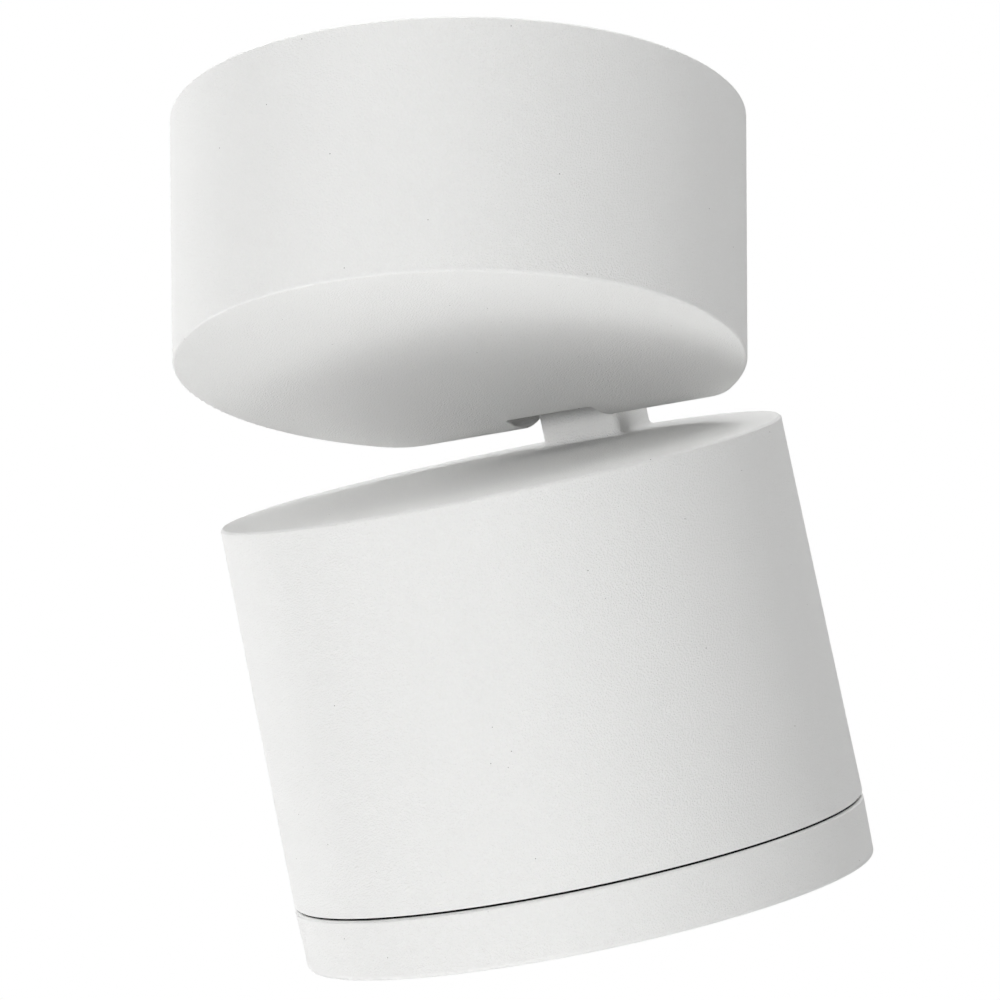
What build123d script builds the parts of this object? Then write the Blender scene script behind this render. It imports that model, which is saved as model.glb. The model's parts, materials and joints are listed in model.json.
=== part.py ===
"""Surface mounted ceiling spotlight: a canopy on the ceiling and a light head below it.

Millimetres and degrees. The origin is on the canopy's axis in the ceiling plane, +Z points up
into the ceiling, and X is the direction of the tilt hinge. The light leans towards +Y.
The head's pieces are drawn hanging straight down, with their axis on Z, and then tilted.
"""

from build123d import *
import os
from math import cos, radians, sin, sqrt, tan

os.makedirs("parts", exist_ok=True)

# ------------------------------------------------------------------ driving sizes: outer shape

LAMP_R = 50.0               # canopy radius at the ceiling; the head follows it
CEILING_GAP = 0.6           # canopy rim to ceiling, so that the canopy can turn
REST_TILT = 24.1            # tilt of the head as it is stored
TILT_TRAVEL = 90.0          # whole tilt, from straight down to level

CANOPY_HEIGHT = 44.6
CANOPY_DRAFT = 0.87         # degrees, wider at the ceiling
CANOPY_WALL = 2.4
CANOPY_FLOOR = 2.6
CANOPY_EDGE_R = 0.5         # rounding of the underside's edge
CANOPY_RIM_CHAMFER = 0.4
BACK_ROUND_R = 16.0         # rounding of the underside over the hinge, along X
BACK_ROUND_INSET = 15.3     # from the canopy's radius in to where that rounding starts

HINGE_INSET = 9.4           # from the canopy's radius in to the hinge axis
HINGE_DEPTH = 19.0          # hinge axis below the canopy's rim
ARM_WIDTH = 15.2            # along X
ARM_DEPTH = 13.8            # along Y
ARM_EDGE_R = 1.1
SLOT_SIDE_GAP = 0.8         # slot to the arm's sides
SLOT_FRONT_GAP = 1.7        # slot's near edge to the arm that hangs down
SLOT_TOP_GAP = 1.1          # slot's top to the arm that stands out level
SLOT_CORNER_R = 0.8
SLOT_EDGE_R = 0.3           # slot's edges on the outside

HEAD_GAP = 0.95             # canopy to head when the head hangs straight down
HEAD_STEP = 0.6             # the head's top is this much smaller in radius than the canopy
HEAD_DRAFT = 0.75           # degrees, wider at the light exit
HEAD_HEIGHT = 67.0          # head body, down to the seam
HEAD_WALL = 2.5
HEAD_TOP_WALL = 4.0
HEAD_EDGE = 0.35            # small chamfers of the head's turned edges
SEAM_HEIGHT = 0.4
SEAM_SETBACK = 0.7          # black seal behind the white surface
RING_HEIGHT = 10.5
RING_TAPER = 0.8            # degrees, narrower at the mouth
RING_EDGE_R = 0.9
RING_WALL = 2.5

# ------------------------------------------------------------------ driving sizes: ceiling fixing

PLATE_INSET = 6.0           # ceiling plate inside the canopy's radius
PLATE_T = 1.5
PLATE_RIM_T = 1.4
PLATE_RIM_DROP = 3.0        # rim below the plate
PLATE_EDGE_R = 0.8          # rolled upper edge
PLATE_BEAD_INSET = 3.6      # stiffening bead inside the plate's edge
PLATE_BEAD_R = 0.9
PLATE_BEAD_DEPTH = 0.6
FIXING_SPACING = 60.0       # between the two ceiling screws
FIXING_SLOT_WIDTH = 4.6
FIXING_SLOT_LENGTH = 14.0

STEM_BORE_R = 5.5
STEM_THREAD_R = 8.0
STEM_JOURNAL_R = 9.0
STEM_FLANGE_R = 13.0
STEM_FLANGE_T = 3.4         # leaves room for the ceiling screws' heads
STEM_TAIL = 0.9             # thread below the nut
GROMMET_WALL = 1.0
GROMMET_FLANGE_R = 7.5
GROMMET_FLANGE_T = 1.0
PAN_WASHER_T = 0.6
PAN_SPRING_T = 0.5
PAN_SPRING_HEIGHT = 1.0
PAN_NUT_FLATS = 22.0
PAN_NUT_HEIGHT = 4.0
STOP_PIN_R = 1.5
STOP_PIN_CIRCLE_R = 18.0
STOP_PIN_OVERLAP = 1.8      # height over which the two pins meet

TURNTABLE_INSET = 8.0       # turntable inside the canopy's radius
TURNTABLE_T = 2.0
WINDOW_MARGIN = 1.0         # turntable window beyond the ceiling plate's slots
WINDOW_HALF_ANGLE = 28.0
TAB_ANGLES = (40.0, 140.0)  # the two tabs that take the grub screws
TAB_WIDTH = 12.0
TAB_DROP = 12.0
TAB_WALL_GAP = 1.8          # tab to the canopy's inner wall
GRUB_R = 2.0
TAB_ROOT = 3.0              # overlap of a tab with the turntable's disc
GRUB_DEPTH = 7.5            # grub screws' axis below the turntable's top
GRUB_SUNK = 0.5             # grub screw's end below the canopy's surface
BOSS_GAP = 0.3              # wall bosses to the tabs
HOOK_ANGLE = 270.0
HOOK_WIDTH = 8.0
HOOK_REACH = 1.2
HOOK_LEDGE_HEIGHT = 3.0

# ------------------------------------------------------------------ driving sizes: tilt hinge

PIVOT_R = 3.5
PIVOT_BORE_R = 2.0
PIVOT_HEAD_R = 4.6
PIVOT_HEAD_T = 1.5
PIVOT_THREAD_R = 2.5
PIVOT_TAIL = 0.3
PIVOT_WINDOW = 3.6          # half length of the opening where the lead turns down
WINDOW_SPARE = 48.0         # degrees of that opening past each end of the tilt
RUNNING_GAP = 0.05          # radial, round a journal
FACE_GAP = 0.02             # between a friction washer and the arm
FRICTION_WASHER_T = 0.5
FRICTION_WASHER_MARGIN = 0.2  # washer inside the arm's flat cheek
DISC_SPRING_R = 4.2
DISC_SPRING_T = 0.4
DISC_SPRING_COUNT = 2
PIVOT_NUT_FLATS = 8.0
PIVOT_NUT_HEIGHT = 2.7
CHEEK_T = 2.5
CHEEK_BACK = 4.6            # cheek behind the hinge axis
WEB_T = 2.4
STOP_GAP = 0.3              # arm to the bracket's stop faces at both ends of its travel
BRACKET_LIFT = 0.5          # bracket's lower edge above the canopy's floor
FOOT_T = 2.5
FOOT_WIDTH = 8.2
FOOT_FRONT = 10.6           # foot in front of the hinge bracket's web
FOOT_PAD_HEIGHT = 4.0       # floor bosses under the bracket's feet
FOOT_PAD_R = 3.8
ARM_SCREW_R = 1.75
ARM_SCREW_X = 4.7           # the arm's screws beside the lead's bore
ARM_SCREW_REACH = 11.0      # into the arm
ARM_HOLE_SPARE = 1.0        # hole beyond the screw's tip

LEAD_R = 1.2
LEAD_BEND_R = 5.0
LEAD_STRAIGHT = 0.6         # from the meeting of the two leads on the hinge axis to the bend
LEAD_BORE_GAP = 0.7
LEAD_EXIT_X = 20.0          # where the lead leaves the driver, on the -X side
LEAD_EXIT_DROP = 6.0        # and below the driver's top
LEAD_RUN = 10.0
LEAD_BOW = 2.0

M4_R = 2.0                  # screw radii
M3_R = 1.5
M25_R = 1.25
SCREW_HEAD_SHARE = 1.75     # head's radius to the shank's radius
SCREW_CROWN_SHARE = 1.2     # head's height to the shank's radius
SOCKET_SHARE = 0.6          # socket's depth to the head's height, and its size to a grub screw's
CUT_SPARE = 1.0             # a cut runs this far past the surface that it opens
FUSE_DEPTH = 1.0            # a rib or post starts this far inside what carries it

# ------------------------------------------------------------------ driving sizes: driver and wiring

DRIVER_LENGTH = 56.0
DRIVER_HEIGHT = 20.0
DRIVER_CORNER_GAP = 2.93    # the driver's front corners to the canopy's wall
DRIVER_WALL = 1.6
DRIVER_CORNER_R = 2.0
DRIVER_FLOOR_GAP = 1.0
DRIVER_COVER_T = 2.0
COVER_LIP_GAP = 0.1
COVER_LIP_T = 1.2
COVER_LIP_DEPTH = 1.5
DRIVER_EAR_LENGTH = 7.0
DRIVER_EAR_WIDTH = 10.0
DRIVER_EAR_T = 2.0
DRIVER_BOSS_HEIGHT = 6.0
FLOOR_BOSS_R = 3.2
BOARD_T = 1.6
BOARD_LIFT = 3.0
BOARD_GAP = 0.5             # board to the tub's wall
BOARD_POST_R = 1.6
BOARD_POST_INSET = 6.0
CORE_SIZE = (16.0, 14.0, 9.0)   # transformer's ferrite core
COIL_SIZE = (10.0, 18.0, 6.0)   # its winding, in the middle of the core's height
CAPACITOR_R = 4.0
CAPACITOR_HEIGHT = 9.5
CAPACITOR_X = 18.0
TERMINAL_LENGTH = 28.0
TERMINAL_WIDTH = 14.0
TERMINAL_HEIGHT = 13.0
TERMINAL_X = 10.0
TERMINAL_GAP = 3.0          # from the driver to the terminal block
TERMINAL_BACK_GAP = 1.4     # from the terminal block to the hinge bracket's feet
TERMINAL_POLES = 3
TERMINAL_PAD_HEIGHT = 3.0
TERMINAL_CORNER_R = 1.0
WIRE_HOLE_R = 1.8
POLE_SCREW_R = 1.7
POLE_SCREW_SUNK = 0.8
POLE_SLOT = (2.8, 0.6, 0.8)     # screwdriver slot: length, width, depth
FIXING_WELL_R = 2.4
FIXING_WELL_DEPTH = 4.0
JUMPER_R = 0.9
CLAMP_INSET = 16.0          # from the canopy's radius in to the cord clamp
CLAMP_Y = 13.0
CLAMP_SPAN = 14.0           # between its two screws
CLAMP_HEIGHT = 5.0
CLAMP_T = 2.0
CLAMP_WIDTH = 7.0
CLAMP_END = 3.2             # past each screw
CLAMP_CORD_R = 2.8
CLAMP_ARCH_T = 1.4
EARTH_INSET = 16.0          # from the canopy's radius in to the earth screw
EARTH_Y = 8.0
EARTH_HEIGHT = 5.0
EARTH_BOSS_R = 3.6
EARTH_TAG_R = 4.8
EARTH_TAG_T = 0.8
EARTH_WIRE_OUT = 2.5        # straight run out of the terminal block
EARTH_WIRE_RISE = 4.0       # arch above the terminal block's wire holes
EARTH_WIRE_TURN = 10.0      # from the middle pole to the start of the arch
EARTH_WIRE_SWAY = 1.0
EARTH_WIRE_LEAN = 1.5
EARTH_WIRE_LIFT = 3.5       # last bend above the ring tag
EARTH_WIRE_END = (3.9, 2.8)     # where the wire ends on the tag, from the screw's axis

# ------------------------------------------------------------------ driving sizes: light unit

SINK_DROP = 25.0            # sink's base below the head's top wall
SINK_BASE_T = 5.0
SINK_ARM_GAP = 3.1          # sink's rim to the lead behind it
SINK_CORE_R = 13.0
SINK_FINS = 20
SINK_FIN_T = 1.4
SINK_FIN_INSET = 1.5
SINK_FIN_TOP_GAP = 3.0
SINK_POST_R = 3.8
SINK_POST_CIRCLE_R = 28.0
SINK_POST_ANGLES = (30.0, 150.0, 270.0)
SINK_SCREW_BITE = 2.8       # thread in the head's top wall
PAD_T = 0.5
PAD_HALF = 11.0
LED_HALF = 10.0
LED_T = 1.2
EMITTER_R = 7.0
EMITTER_T = 0.8
HOLDER_R = 22.0
HOLDER_T = 4.2
HOLDER_HOLE_R = 8.2
HOLDER_SCREW_X = 17.0       # screws from the light's axis
HOLDER_WELL_R = 3.0
HOLDER_WELL_DEPTH = 2.2
HOLDER_POCKET_GAP = 0.1
HOLDER_SCREW_BITE = 4.0     # thread in the heat sink's base
REFLECTOR_NECK_R = 9.5
REFLECTOR_SEAT_R = 12.0
REFLECTOR_T = 0.9
REFLECTOR_NECK_GAP = 0.6    # reflector's rim to the front ring's neck
REFLECTOR_RIM_GAP = 0.8     # reflector's rim to the snap ring
REFLECTOR_BANDS = 14        # straight bands that make up its curve
GLASS_T = 3.0
GLASS_GAP = 0.2             # glass to the ring's neck, and gasket to the shoulder's edge
GASKET_T = 1.0
SNAP_RING_T = 1.0
SNAP_RING_DEPTH = 0.6
SNAP_RING_WIDTH = 2.0
SNAP_RING_SPAN = 345.0      # degrees; the rest is its gap
SHOULDER_T = 2.0
SHOULDER_WIDTH = 2.8
NECK_WALL = 1.8
NECK_GAP = 1.7              # neck to the head's inner wall
NECK_HEIGHT = 8.5
LUG_ANGLES = (30.0, 150.0, 270.0)
LUG_SPAN = 30.0             # degrees round the ring
LEDGE_SPAN = 44.0
LUG_HEIGHT = 1.9
LUG_GAP = 0.4               # lug to the head's wall, and seal to the neck
LEDGE_GAP = 0.3             # ledge to the neck
LUG_PLAY = 0.1              # between lug and ledge
LEDGE_HEIGHT = 3.0
TWIST_TRAVEL = 40.0         # from locked to free
TWIST_STOP_SPAN = 4.0
TWIST_STOP_PLAY = 1.0       # degrees from lug to stop
BAFFLE_STEPS = 3
BAFFLE_LIP = 0.6
BAFFLE_GAP = 0.1
BAFFLE_RISE_SHARE = 0.85    # steep part of a step, in height
BAFFLE_LEAN_SHARE = 0.25    # and in width

# ------------------------------------------------------------------ levels and radii that follow

rim_z = -CEILING_GAP
under_z = rim_z - CANOPY_HEIGHT
floor_z = under_z + CANOPY_FLOOR
round_y = LAMP_R - BACK_ROUND_INSET
round_z = under_z + BACK_ROUND_R
hinge_y = LAMP_R - HINGE_INSET
hinge_z = rim_z - HINGE_DEPTH
arm_half = ARM_WIDTH / 2
arm_front = hinge_y - ARM_DEPTH / 2
arm_back = hinge_y + ARM_DEPTH / 2
slot_half = arm_half + SLOT_SIDE_GAP
slot_front = arm_front - SLOT_FRONT_GAP
slot_top = hinge_z + ARM_DEPTH / 2 + SLOT_TOP_GAP

plate_low = -PLATE_T
flange_low = plate_low - STEM_FLANGE_T
turntable_top = flange_low - PAN_WASHER_T
turntable_low = turntable_top - TURNTABLE_T
pan_spring_top = turntable_low - PAN_WASHER_T
pan_nut_top = pan_spring_top - PAN_SPRING_HEIGHT
pan_nut_low = pan_nut_top - PAN_NUT_HEIGHT
stem_low = pan_nut_low - STEM_TAIL
plate_r = LAMP_R - PLATE_INSET
turntable_r = LAMP_R - TURNTABLE_INSET
tab_low = turntable_low - TAB_DROP
grub_z = turntable_top - GRUB_DEPTH

head_top = under_z - HEAD_GAP
head_top_r = LAMP_R - HEAD_STEP
head_inner_r = head_top_r - HEAD_WALL
head_low = head_top - HEAD_HEIGHT
head_low_r = head_top_r + HEAD_HEIGHT * tan(radians(HEAD_DRAFT))
ring_top = head_low - SEAM_HEIGHT
ring_low = ring_top - RING_HEIGHT
neck_r = head_inner_r - NECK_GAP
neck_inner_r = neck_r - NECK_WALL
neck_top = ring_top + NECK_HEIGHT
shoulder_top = ring_top - (GASKET_T - SEAM_HEIGHT)
shoulder_r = neck_inner_r - SHOULDER_WIDTH
glass_low = shoulder_top + GASKET_T
glass_r = neck_inner_r - GLASS_GAP
lug_low = neck_top - LUG_HEIGHT
ledge_top = lug_low - LUG_PLAY

cheek_inner = arm_half + FRICTION_WASHER_T + FACE_GAP
lead_joint_x = -LEAD_BEND_R - LEAD_STRAIGHT
cheek_outer = cheek_inner + CHEEK_T
pivot_tip = cheek_outer + DISC_SPRING_COUNT * DISC_SPRING_T + PIVOT_NUT_HEIGHT + PIVOT_TAIL
pad_top = floor_z + FOOT_PAD_HEIGHT
foot_top = pad_top + FOOT_T
web_back = arm_front - STOP_GAP
web_front = web_back - WEB_T
tie_low = hinge_z + ARM_DEPTH / 2 + STOP_GAP

foot_front = web_front - FOOT_FRONT
terminal_low = floor_z + TERMINAL_PAD_HEIGHT
terminal_front = foot_front - TERMINAL_BACK_GAP - TERMINAL_WIDTH
terminal_y = terminal_front + TERMINAL_WIDTH / 2
pole_pitch = TERMINAL_LENGTH / (TERMINAL_POLES + 1)
driver_low = floor_z + DRIVER_FLOOR_GAP
driver_top = driver_low + DRIVER_HEIGHT
driver_back = terminal_front - TERMINAL_GAP
driver_corner_r = LAMP_R - (rim_z - driver_low) * tan(radians(CANOPY_DRAFT)) - CANOPY_WALL
driver_front = -sqrt((driver_corner_r - DRIVER_CORNER_GAP) ** 2 - (DRIVER_LENGTH / 2) ** 2)
driver_y = (driver_front + driver_back) / 2
driver_ear_z = floor_z + DRIVER_BOSS_HEIGHT
clamp_x = LAMP_R - CLAMP_INSET
earth_x = EARTH_INSET - LAMP_R

sink_low = head_top - HEAD_TOP_WALL - SINK_DROP - SINK_BASE_T
sink_base_top = sink_low + SINK_BASE_T
sink_r = hinge_y - SINK_ARM_GAP
led_low = sink_low - PAD_T - LED_T
holder_low = sink_low - HOLDER_T
reflector_low = glass_low + GLASS_T + SNAP_RING_T + REFLECTOR_RIM_GAP
reflector_rim_r = neck_inner_r - REFLECTOR_NECK_GAP - REFLECTOR_T


def canopy_outer_r(z):
    """Canopy's outer radius at a height."""
    return LAMP_R - (rim_z - z) * tan(radians(CANOPY_DRAFT))


def canopy_inner_r(z):
    """Canopy's inner radius at a height."""
    return canopy_outer_r(z) - CANOPY_WALL


# ------------------------------------------------------------------ plain building blocks

def tube(outer, z_low, z_high, inner=0.0, x=0.0, y=0.0):
    """Upright cylinder, hollow where an inner radius is given."""
    body = Cylinder(outer, z_high - z_low)
    if inner > 0:
        body -= Cylinder(inner, z_high - z_low)
    return Pos(x, y, (z_low + z_high) / 2) * body


def block(x, y, z):
    """Box between three pairs of limits."""
    size = Box(x[1] - x[0], y[1] - y[0], z[1] - z[0])
    return Pos(sum(x) / 2, sum(y) / 2, sum(z) / 2) * size


def cross_rod(radius, x_low, x_high, inner=0.0):
    """Cylinder along the hinge axis."""
    body = Cylinder(radius, x_high - x_low)
    if inner > 0:
        body -= Cylinder(inner, x_high - x_low)
    return Pos((x_low + x_high) / 2, hinge_y, hinge_z) * Rot(0, 90, 0) * body


def turned(outline):
    """Lathe shape from (radius, height) points."""
    points = [(radius, 0, height) for radius, height in outline]
    return revolve(make_face(Polyline(*points, close=True)), axis=Axis.Z)


def hexagon(flats, z_low, z_high, x=0.0, y=0.0):
    """Upright hexagonal prism, its flats towards +Y and -Y."""
    outline = RegularPolygon(flats / sqrt(3), 6)
    return Pos(x, y, z_low) * extrude(outline, z_high - z_low)


def ring_arc(inner, outer, z_low, z_high, centre_angle, span):
    """Part of an upright tube, about an angle round Z."""
    section = make_face(Polyline((inner, 0, z_low), (outer, 0, z_low), (outer, 0, z_high),
                                 (inner, 0, z_high), close=True))
    return Rot(0, 0, centre_angle - span / 2) * revolve(section, Axis.Z, revolution_arc=span)


def screw(x, y, seat, tip, shank_r):
    """Upright screw with a hexagon socket; its head lies beyond the seat, away from the tip."""
    up = 1 if seat > tip else -1
    head_r = shank_r * SCREW_HEAD_SHARE
    head_height = shank_r * SCREW_CROWN_SHARE
    crown = seat + up * head_height
    body = tube(shank_r, min(seat, tip), max(seat, tip), x=x, y=y)
    body += tube(head_r, min(seat, crown), max(seat, crown), x=x, y=y)
    socket_end = crown - up * head_height * SOCKET_SHARE
    return body - hexagon(head_r, min(crown, socket_end), max(crown, socket_end), x, y)


def under_arc(radius):
    """Everything behind and below the underside's rounding, for a rounding of this radius."""
    start = (0, round_y, round_z - radius)
    middle = (0, round_y + radius * sin(radians(45)), round_z - radius * cos(radians(45)))
    end = (0, round_y + radius, round_z)
    far = LAMP_R + BACK_ROUND_R
    deep = under_z - BACK_ROUND_R
    outline = [ThreePointArc(start, middle, end),
               Polyline(end, (0, far, round_z), (0, far, deep), (0, round_y, deep), start)]
    return extrude(make_face(outline), LAMP_R, dir=(1, 0, 0), both=True)


def bend_radii(points):
    """Largest tangent arcs that the runs beside each corner allow."""
    radii = []
    for before, corner, after in zip(points, points[1:], points[2:]):
        run_in = Vector(*corner) - Vector(*before)
        run_out = Vector(*after) - Vector(*corner)
        half_turn = radians(run_in.get_angle(run_out) / 2)
        radii.append(0.45 * min(run_in.length, run_out.length) / tan(half_turn))
    return radii


def wire(points, radius, radii):
    """Round wire along straight runs and tangent arcs."""
    path = FilletPolyline(*points, radius=radii)
    section = Plane(origin=path @ 0, z_dir=path % 0) * Circle(radius)
    return sweep(section, path=path)


def tilted(piece):
    """Turn a head piece from hanging straight down to its stored tilt."""
    return piece.rotate(Axis((0, hinge_y, hinge_z), (1, 0, 0)), REST_TILT)


# ------------------------------------------------------------------ fixed to the ceiling

def ceiling_plate():
    """Pressed steel disc with a short rim, two slotted screw holes and the stem's hole."""
    plate = tube(plate_r, plate_low - PLATE_RIM_DROP, 0)
    plate = fillet(plate.edges().sort_by(Axis.Z)[-1], PLATE_EDGE_R)
    plate -= tube(plate_r - PLATE_RIM_T, plate_low - PLATE_RIM_DROP, plate_low)
    bead_r = plate_r - PLATE_BEAD_INSET
    plate += turned([(bead_r - PLATE_BEAD_R, plate_low), (bead_r + PLATE_BEAD_R, plate_low),
                     (bead_r + PLATE_BEAD_R / 2, plate_low - PLATE_BEAD_DEPTH),
                     (bead_r - PLATE_BEAD_R / 2, plate_low - PLATE_BEAD_DEPTH)])
    plate -= turned([(bead_r - PLATE_BEAD_R, 0), (bead_r + PLATE_BEAD_R, 0),
                     (bead_r + PLATE_BEAD_R / 2, -PLATE_BEAD_DEPTH),
                     (bead_r - PLATE_BEAD_R / 2, -PLATE_BEAD_DEPTH)])
    plate -= tube(STEM_THREAD_R, plate_low, 0)
    plate -= tube(STOP_PIN_R, plate_low, 0, y=STOP_PIN_CIRCLE_R)
    for side in (-1, 1):
        slot = extrude(SlotOverall(FIXING_SLOT_LENGTH, FIXING_SLOT_WIDTH), PLATE_T)
        plate -= Pos(side * FIXING_SPACING / 2, 0, plate_low) * slot
    return plate


def pan_stem():
    """Turned hollow stem: spigot in the plate, flange, journal for the turntable, thread."""
    return turned([(STEM_BORE_R, 0), (STEM_THREAD_R, 0), (STEM_THREAD_R, plate_low),
                   (STEM_FLANGE_R, plate_low), (STEM_FLANGE_R, flange_low),
                   (STEM_JOURNAL_R, flange_low), (STEM_JOURNAL_R, pan_spring_top),
                   (STEM_THREAD_R, pan_spring_top), (STEM_THREAD_R, stem_low),
                   (STEM_BORE_R, stem_low)])


def cable_grommet():
    """Rubber sleeve through the stem, with a flange that covers its lower end."""
    inner = STEM_BORE_R - GROMMET_WALL
    flange = stem_low - GROMMET_FLANGE_T
    return turned([(inner, 0), (STEM_BORE_R, 0), (STEM_BORE_R, stem_low),
                   (GROMMET_FLANGE_R, stem_low), (GROMMET_FLANGE_R, flange), (inner, flange)])


def pan_spring():
    """Conical spring washer that sets how firmly the canopy turns."""
    outer = STEM_FLANGE_R
    inner = STEM_THREAD_R + 2 * RUNNING_GAP
    return turned([(inner, pan_nut_top + PAN_SPRING_T), (inner, pan_nut_top),
                   (outer, pan_spring_top - PAN_SPRING_T), (outer, pan_spring_top)])


def pan_nut():
    """Hexagon nut on the stem."""
    body = hexagon(PAN_NUT_FLATS, pan_nut_low, pan_nut_top)
    return body - tube(STEM_THREAD_R, pan_nut_low, pan_nut_top)


def fixed_stop_pin():
    """Pin in the ceiling plate that ends the canopy's turn."""
    tip = (plate_low + turntable_top) / 2 - STOP_PIN_OVERLAP / 2
    return tube(STOP_PIN_R, tip, 0, y=STOP_PIN_CIRCLE_R)


# ------------------------------------------------------------------ turntable and canopy

def turning_stop_pin():
    """Pin in the turntable that meets the fixed one after nearly half a turn either way."""
    tip = (plate_low + turntable_top) / 2 + STOP_PIN_OVERLAP / 2
    return tube(STOP_PIN_R, turntable_low, tip, y=-STOP_PIN_CIRCLE_R)


def thrust_washers():
    """Two plastic washers, above and below the turntable."""
    inner = STEM_JOURNAL_R + RUNNING_GAP
    return [tube(STEM_FLANGE_R, turntable_top, flange_low, inner=inner),
            tube(STEM_FLANGE_R, pan_spring_top, turntable_low, inner=inner)]


def radial(piece, angle):
    """Turn a piece drawn on the +X side to an angle round Z."""
    return Rot(0, 0, angle) * piece


def tab_face_r():
    """Distance of a tab's outer face from the axis."""
    return canopy_inner_r(grub_z) - TAB_WALL_GAP


def turntable():
    """Steel disc with screwdriver windows and three tabs bent down to hold the canopy."""
    disc = tube(turntable_r, turntable_low, turntable_top, inner=STEM_JOURNAL_R + RUNNING_GAP)
    reach = FIXING_SLOT_LENGTH / 2 + WINDOW_MARGIN
    for angle in (0, 180):
        disc -= ring_arc(FIXING_SPACING / 2 - reach, FIXING_SPACING / 2 + reach,
                         turntable_low, turntable_top, angle, 2 * WINDOW_HALF_ANGLE)
    disc -= tube(STOP_PIN_R, turntable_low, turntable_top, y=-STOP_PIN_CIRCLE_R)
    face = tab_face_r()
    half = TAB_WIDTH / 2
    tab = block((turntable_r - TAB_ROOT, face), (-half, half), (turntable_low, turntable_top))
    tab += block((face - TURNTABLE_T, face), (-half, half), (tab_low, turntable_top))
    drilled_tab = tab - radial_rod(GRUB_R, face - TURNTABLE_T - CUT_SPARE, face + CUT_SPARE)
    for angle in TAB_ANGLES:
        disc += radial(drilled_tab, angle)
    lip_half = HOOK_WIDTH / 2
    hook = tab + block((face - TURNTABLE_T, face + HOOK_REACH), (-lip_half, lip_half),
                       (tab_low, tab_low + TURNTABLE_T))
    return disc + radial(hook, HOOK_ANGLE)


def radial_rod(radius, start, end):
    """Level cylinder along +X at the grub screws' height."""
    return Pos((start + end) / 2, 0, grub_z) * Rot(0, 90, 0) * Cylinder(radius, end - start)


def grub_screws():
    """Two socket set screws through the canopy's wall into the tabs, on its hidden side."""
    start = tab_face_r() - TURNTABLE_T
    end = canopy_outer_r(grub_z) - GRUB_SUNK
    body = radial_rod(GRUB_R, start, end)
    socket = extrude(RegularPolygon(GRUB_R * SOCKET_SHARE, 6), GRUB_R)
    body -= Pos(end - GRUB_R, 0, grub_z) * Rot(0, 90, 0) * socket
    return [radial(body, angle) for angle in TAB_ANGLES]


def bracket_holes():
    """Places of the four screws that hold the hinge bracket."""
    x = cheek_outer + FOOT_WIDTH / 2
    return [(side * x, y) for side in (-1, 1) for y in (foot_front + FOOT_WIDTH / 2, web_back)]


def driver_holes():
    """Places of the two screws that hold the driver."""
    x = (DRIVER_LENGTH + DRIVER_EAR_LENGTH) / 2
    return [(-x, driver_y), (x, driver_y)]


def terminal_holes():
    """Places of the two screws that hold the terminal block, between its poles."""
    return [(TERMINAL_X - pole_pitch / 2, terminal_y), (TERMINAL_X + pole_pitch / 2, terminal_y)]


def clamp_holes():
    """Places of the cord clamp's two screws."""
    return [(clamp_x, CLAMP_Y - CLAMP_SPAN / 2), (clamp_x, CLAMP_Y + CLAMP_SPAN / 2)]


def canopy_bosses():
    """Every boss on the canopy's floor: place, radius, top and the radius of its screw hole."""
    bosses = [(x, y, FOOT_PAD_R, pad_top, M4_R) for x, y in bracket_holes()]
    bosses += [(x, y, FLOOR_BOSS_R, driver_ear_z, M3_R) for x, y in driver_holes()]
    bosses += [(x, y, FLOOR_BOSS_R, terminal_low, M25_R) for x, y in terminal_holes()]
    bosses += [(x, y, FLOOR_BOSS_R, floor_z + CLAMP_HEIGHT, M3_R) for x, y in clamp_holes()]
    bosses += [(earth_x, EARTH_Y, EARTH_BOSS_R, floor_z + EARTH_HEIGHT, M4_R)]
    return bosses


def canopy_housing():
    """Die-cast pot, open to the ceiling, with the slot for the arm and its rounded back."""
    low_r = canopy_outer_r(under_z)
    chamfer_z = rim_z - CANOPY_RIM_CHAMFER
    shell = turned([(0, rim_z), (LAMP_R - CANOPY_RIM_CHAMFER, rim_z),
                    (canopy_outer_r(chamfer_z), chamfer_z), (low_r, under_z), (0, under_z)])
    shell -= under_arc(BACK_ROUND_R)
    cavity = turned([(0, CUT_SPARE), (canopy_inner_r(CUT_SPARE), CUT_SPARE),
                     (canopy_inner_r(floor_z), floor_z), (0, floor_z)])
    cavity -= under_arc(BACK_ROUND_R - CANOPY_FLOOR)
    shell -= cavity
    for x, y, radius, top, hole in canopy_bosses():
        shell += tube(radius, floor_z - CANOPY_FLOOR / 4, top, x=x, y=y)
        shell -= tube(hole, floor_z - CANOPY_FLOOR / 2, top, x=x, y=y)
    wall_r = canopy_inner_r(grub_z) + CANOPY_WALL / 2
    for angle in TAB_ANGLES:
        shell += radial(radial_rod(2 * GRUB_R, tab_face_r() + BOSS_GAP, wall_r), angle)
        shell -= radial(radial_rod(GRUB_R, tab_face_r(), LAMP_R + CUT_SPARE), angle)
    ledge_z = tab_low + TURNTABLE_T
    ledge = block((tab_face_r() + BOSS_GAP, wall_r), (-HOOK_WIDTH / 2, HOOK_WIDTH / 2),
                  (ledge_z, ledge_z + HOOK_LEDGE_HEIGHT))
    shell += radial(ledge, HOOK_ANGLE)
    shell -= arm_slot()
    level = shell.edges().filter_by(GeomType.CIRCLE).filter_by_position(Axis.Z, under_z, under_z)
    shell = fillet(level.sort_by(SortBy.LENGTH)[-1], CANOPY_EDGE_R)  # runs on round the back
    return fillet(slot_outer_edges(shell), SLOT_EDGE_R)


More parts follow.
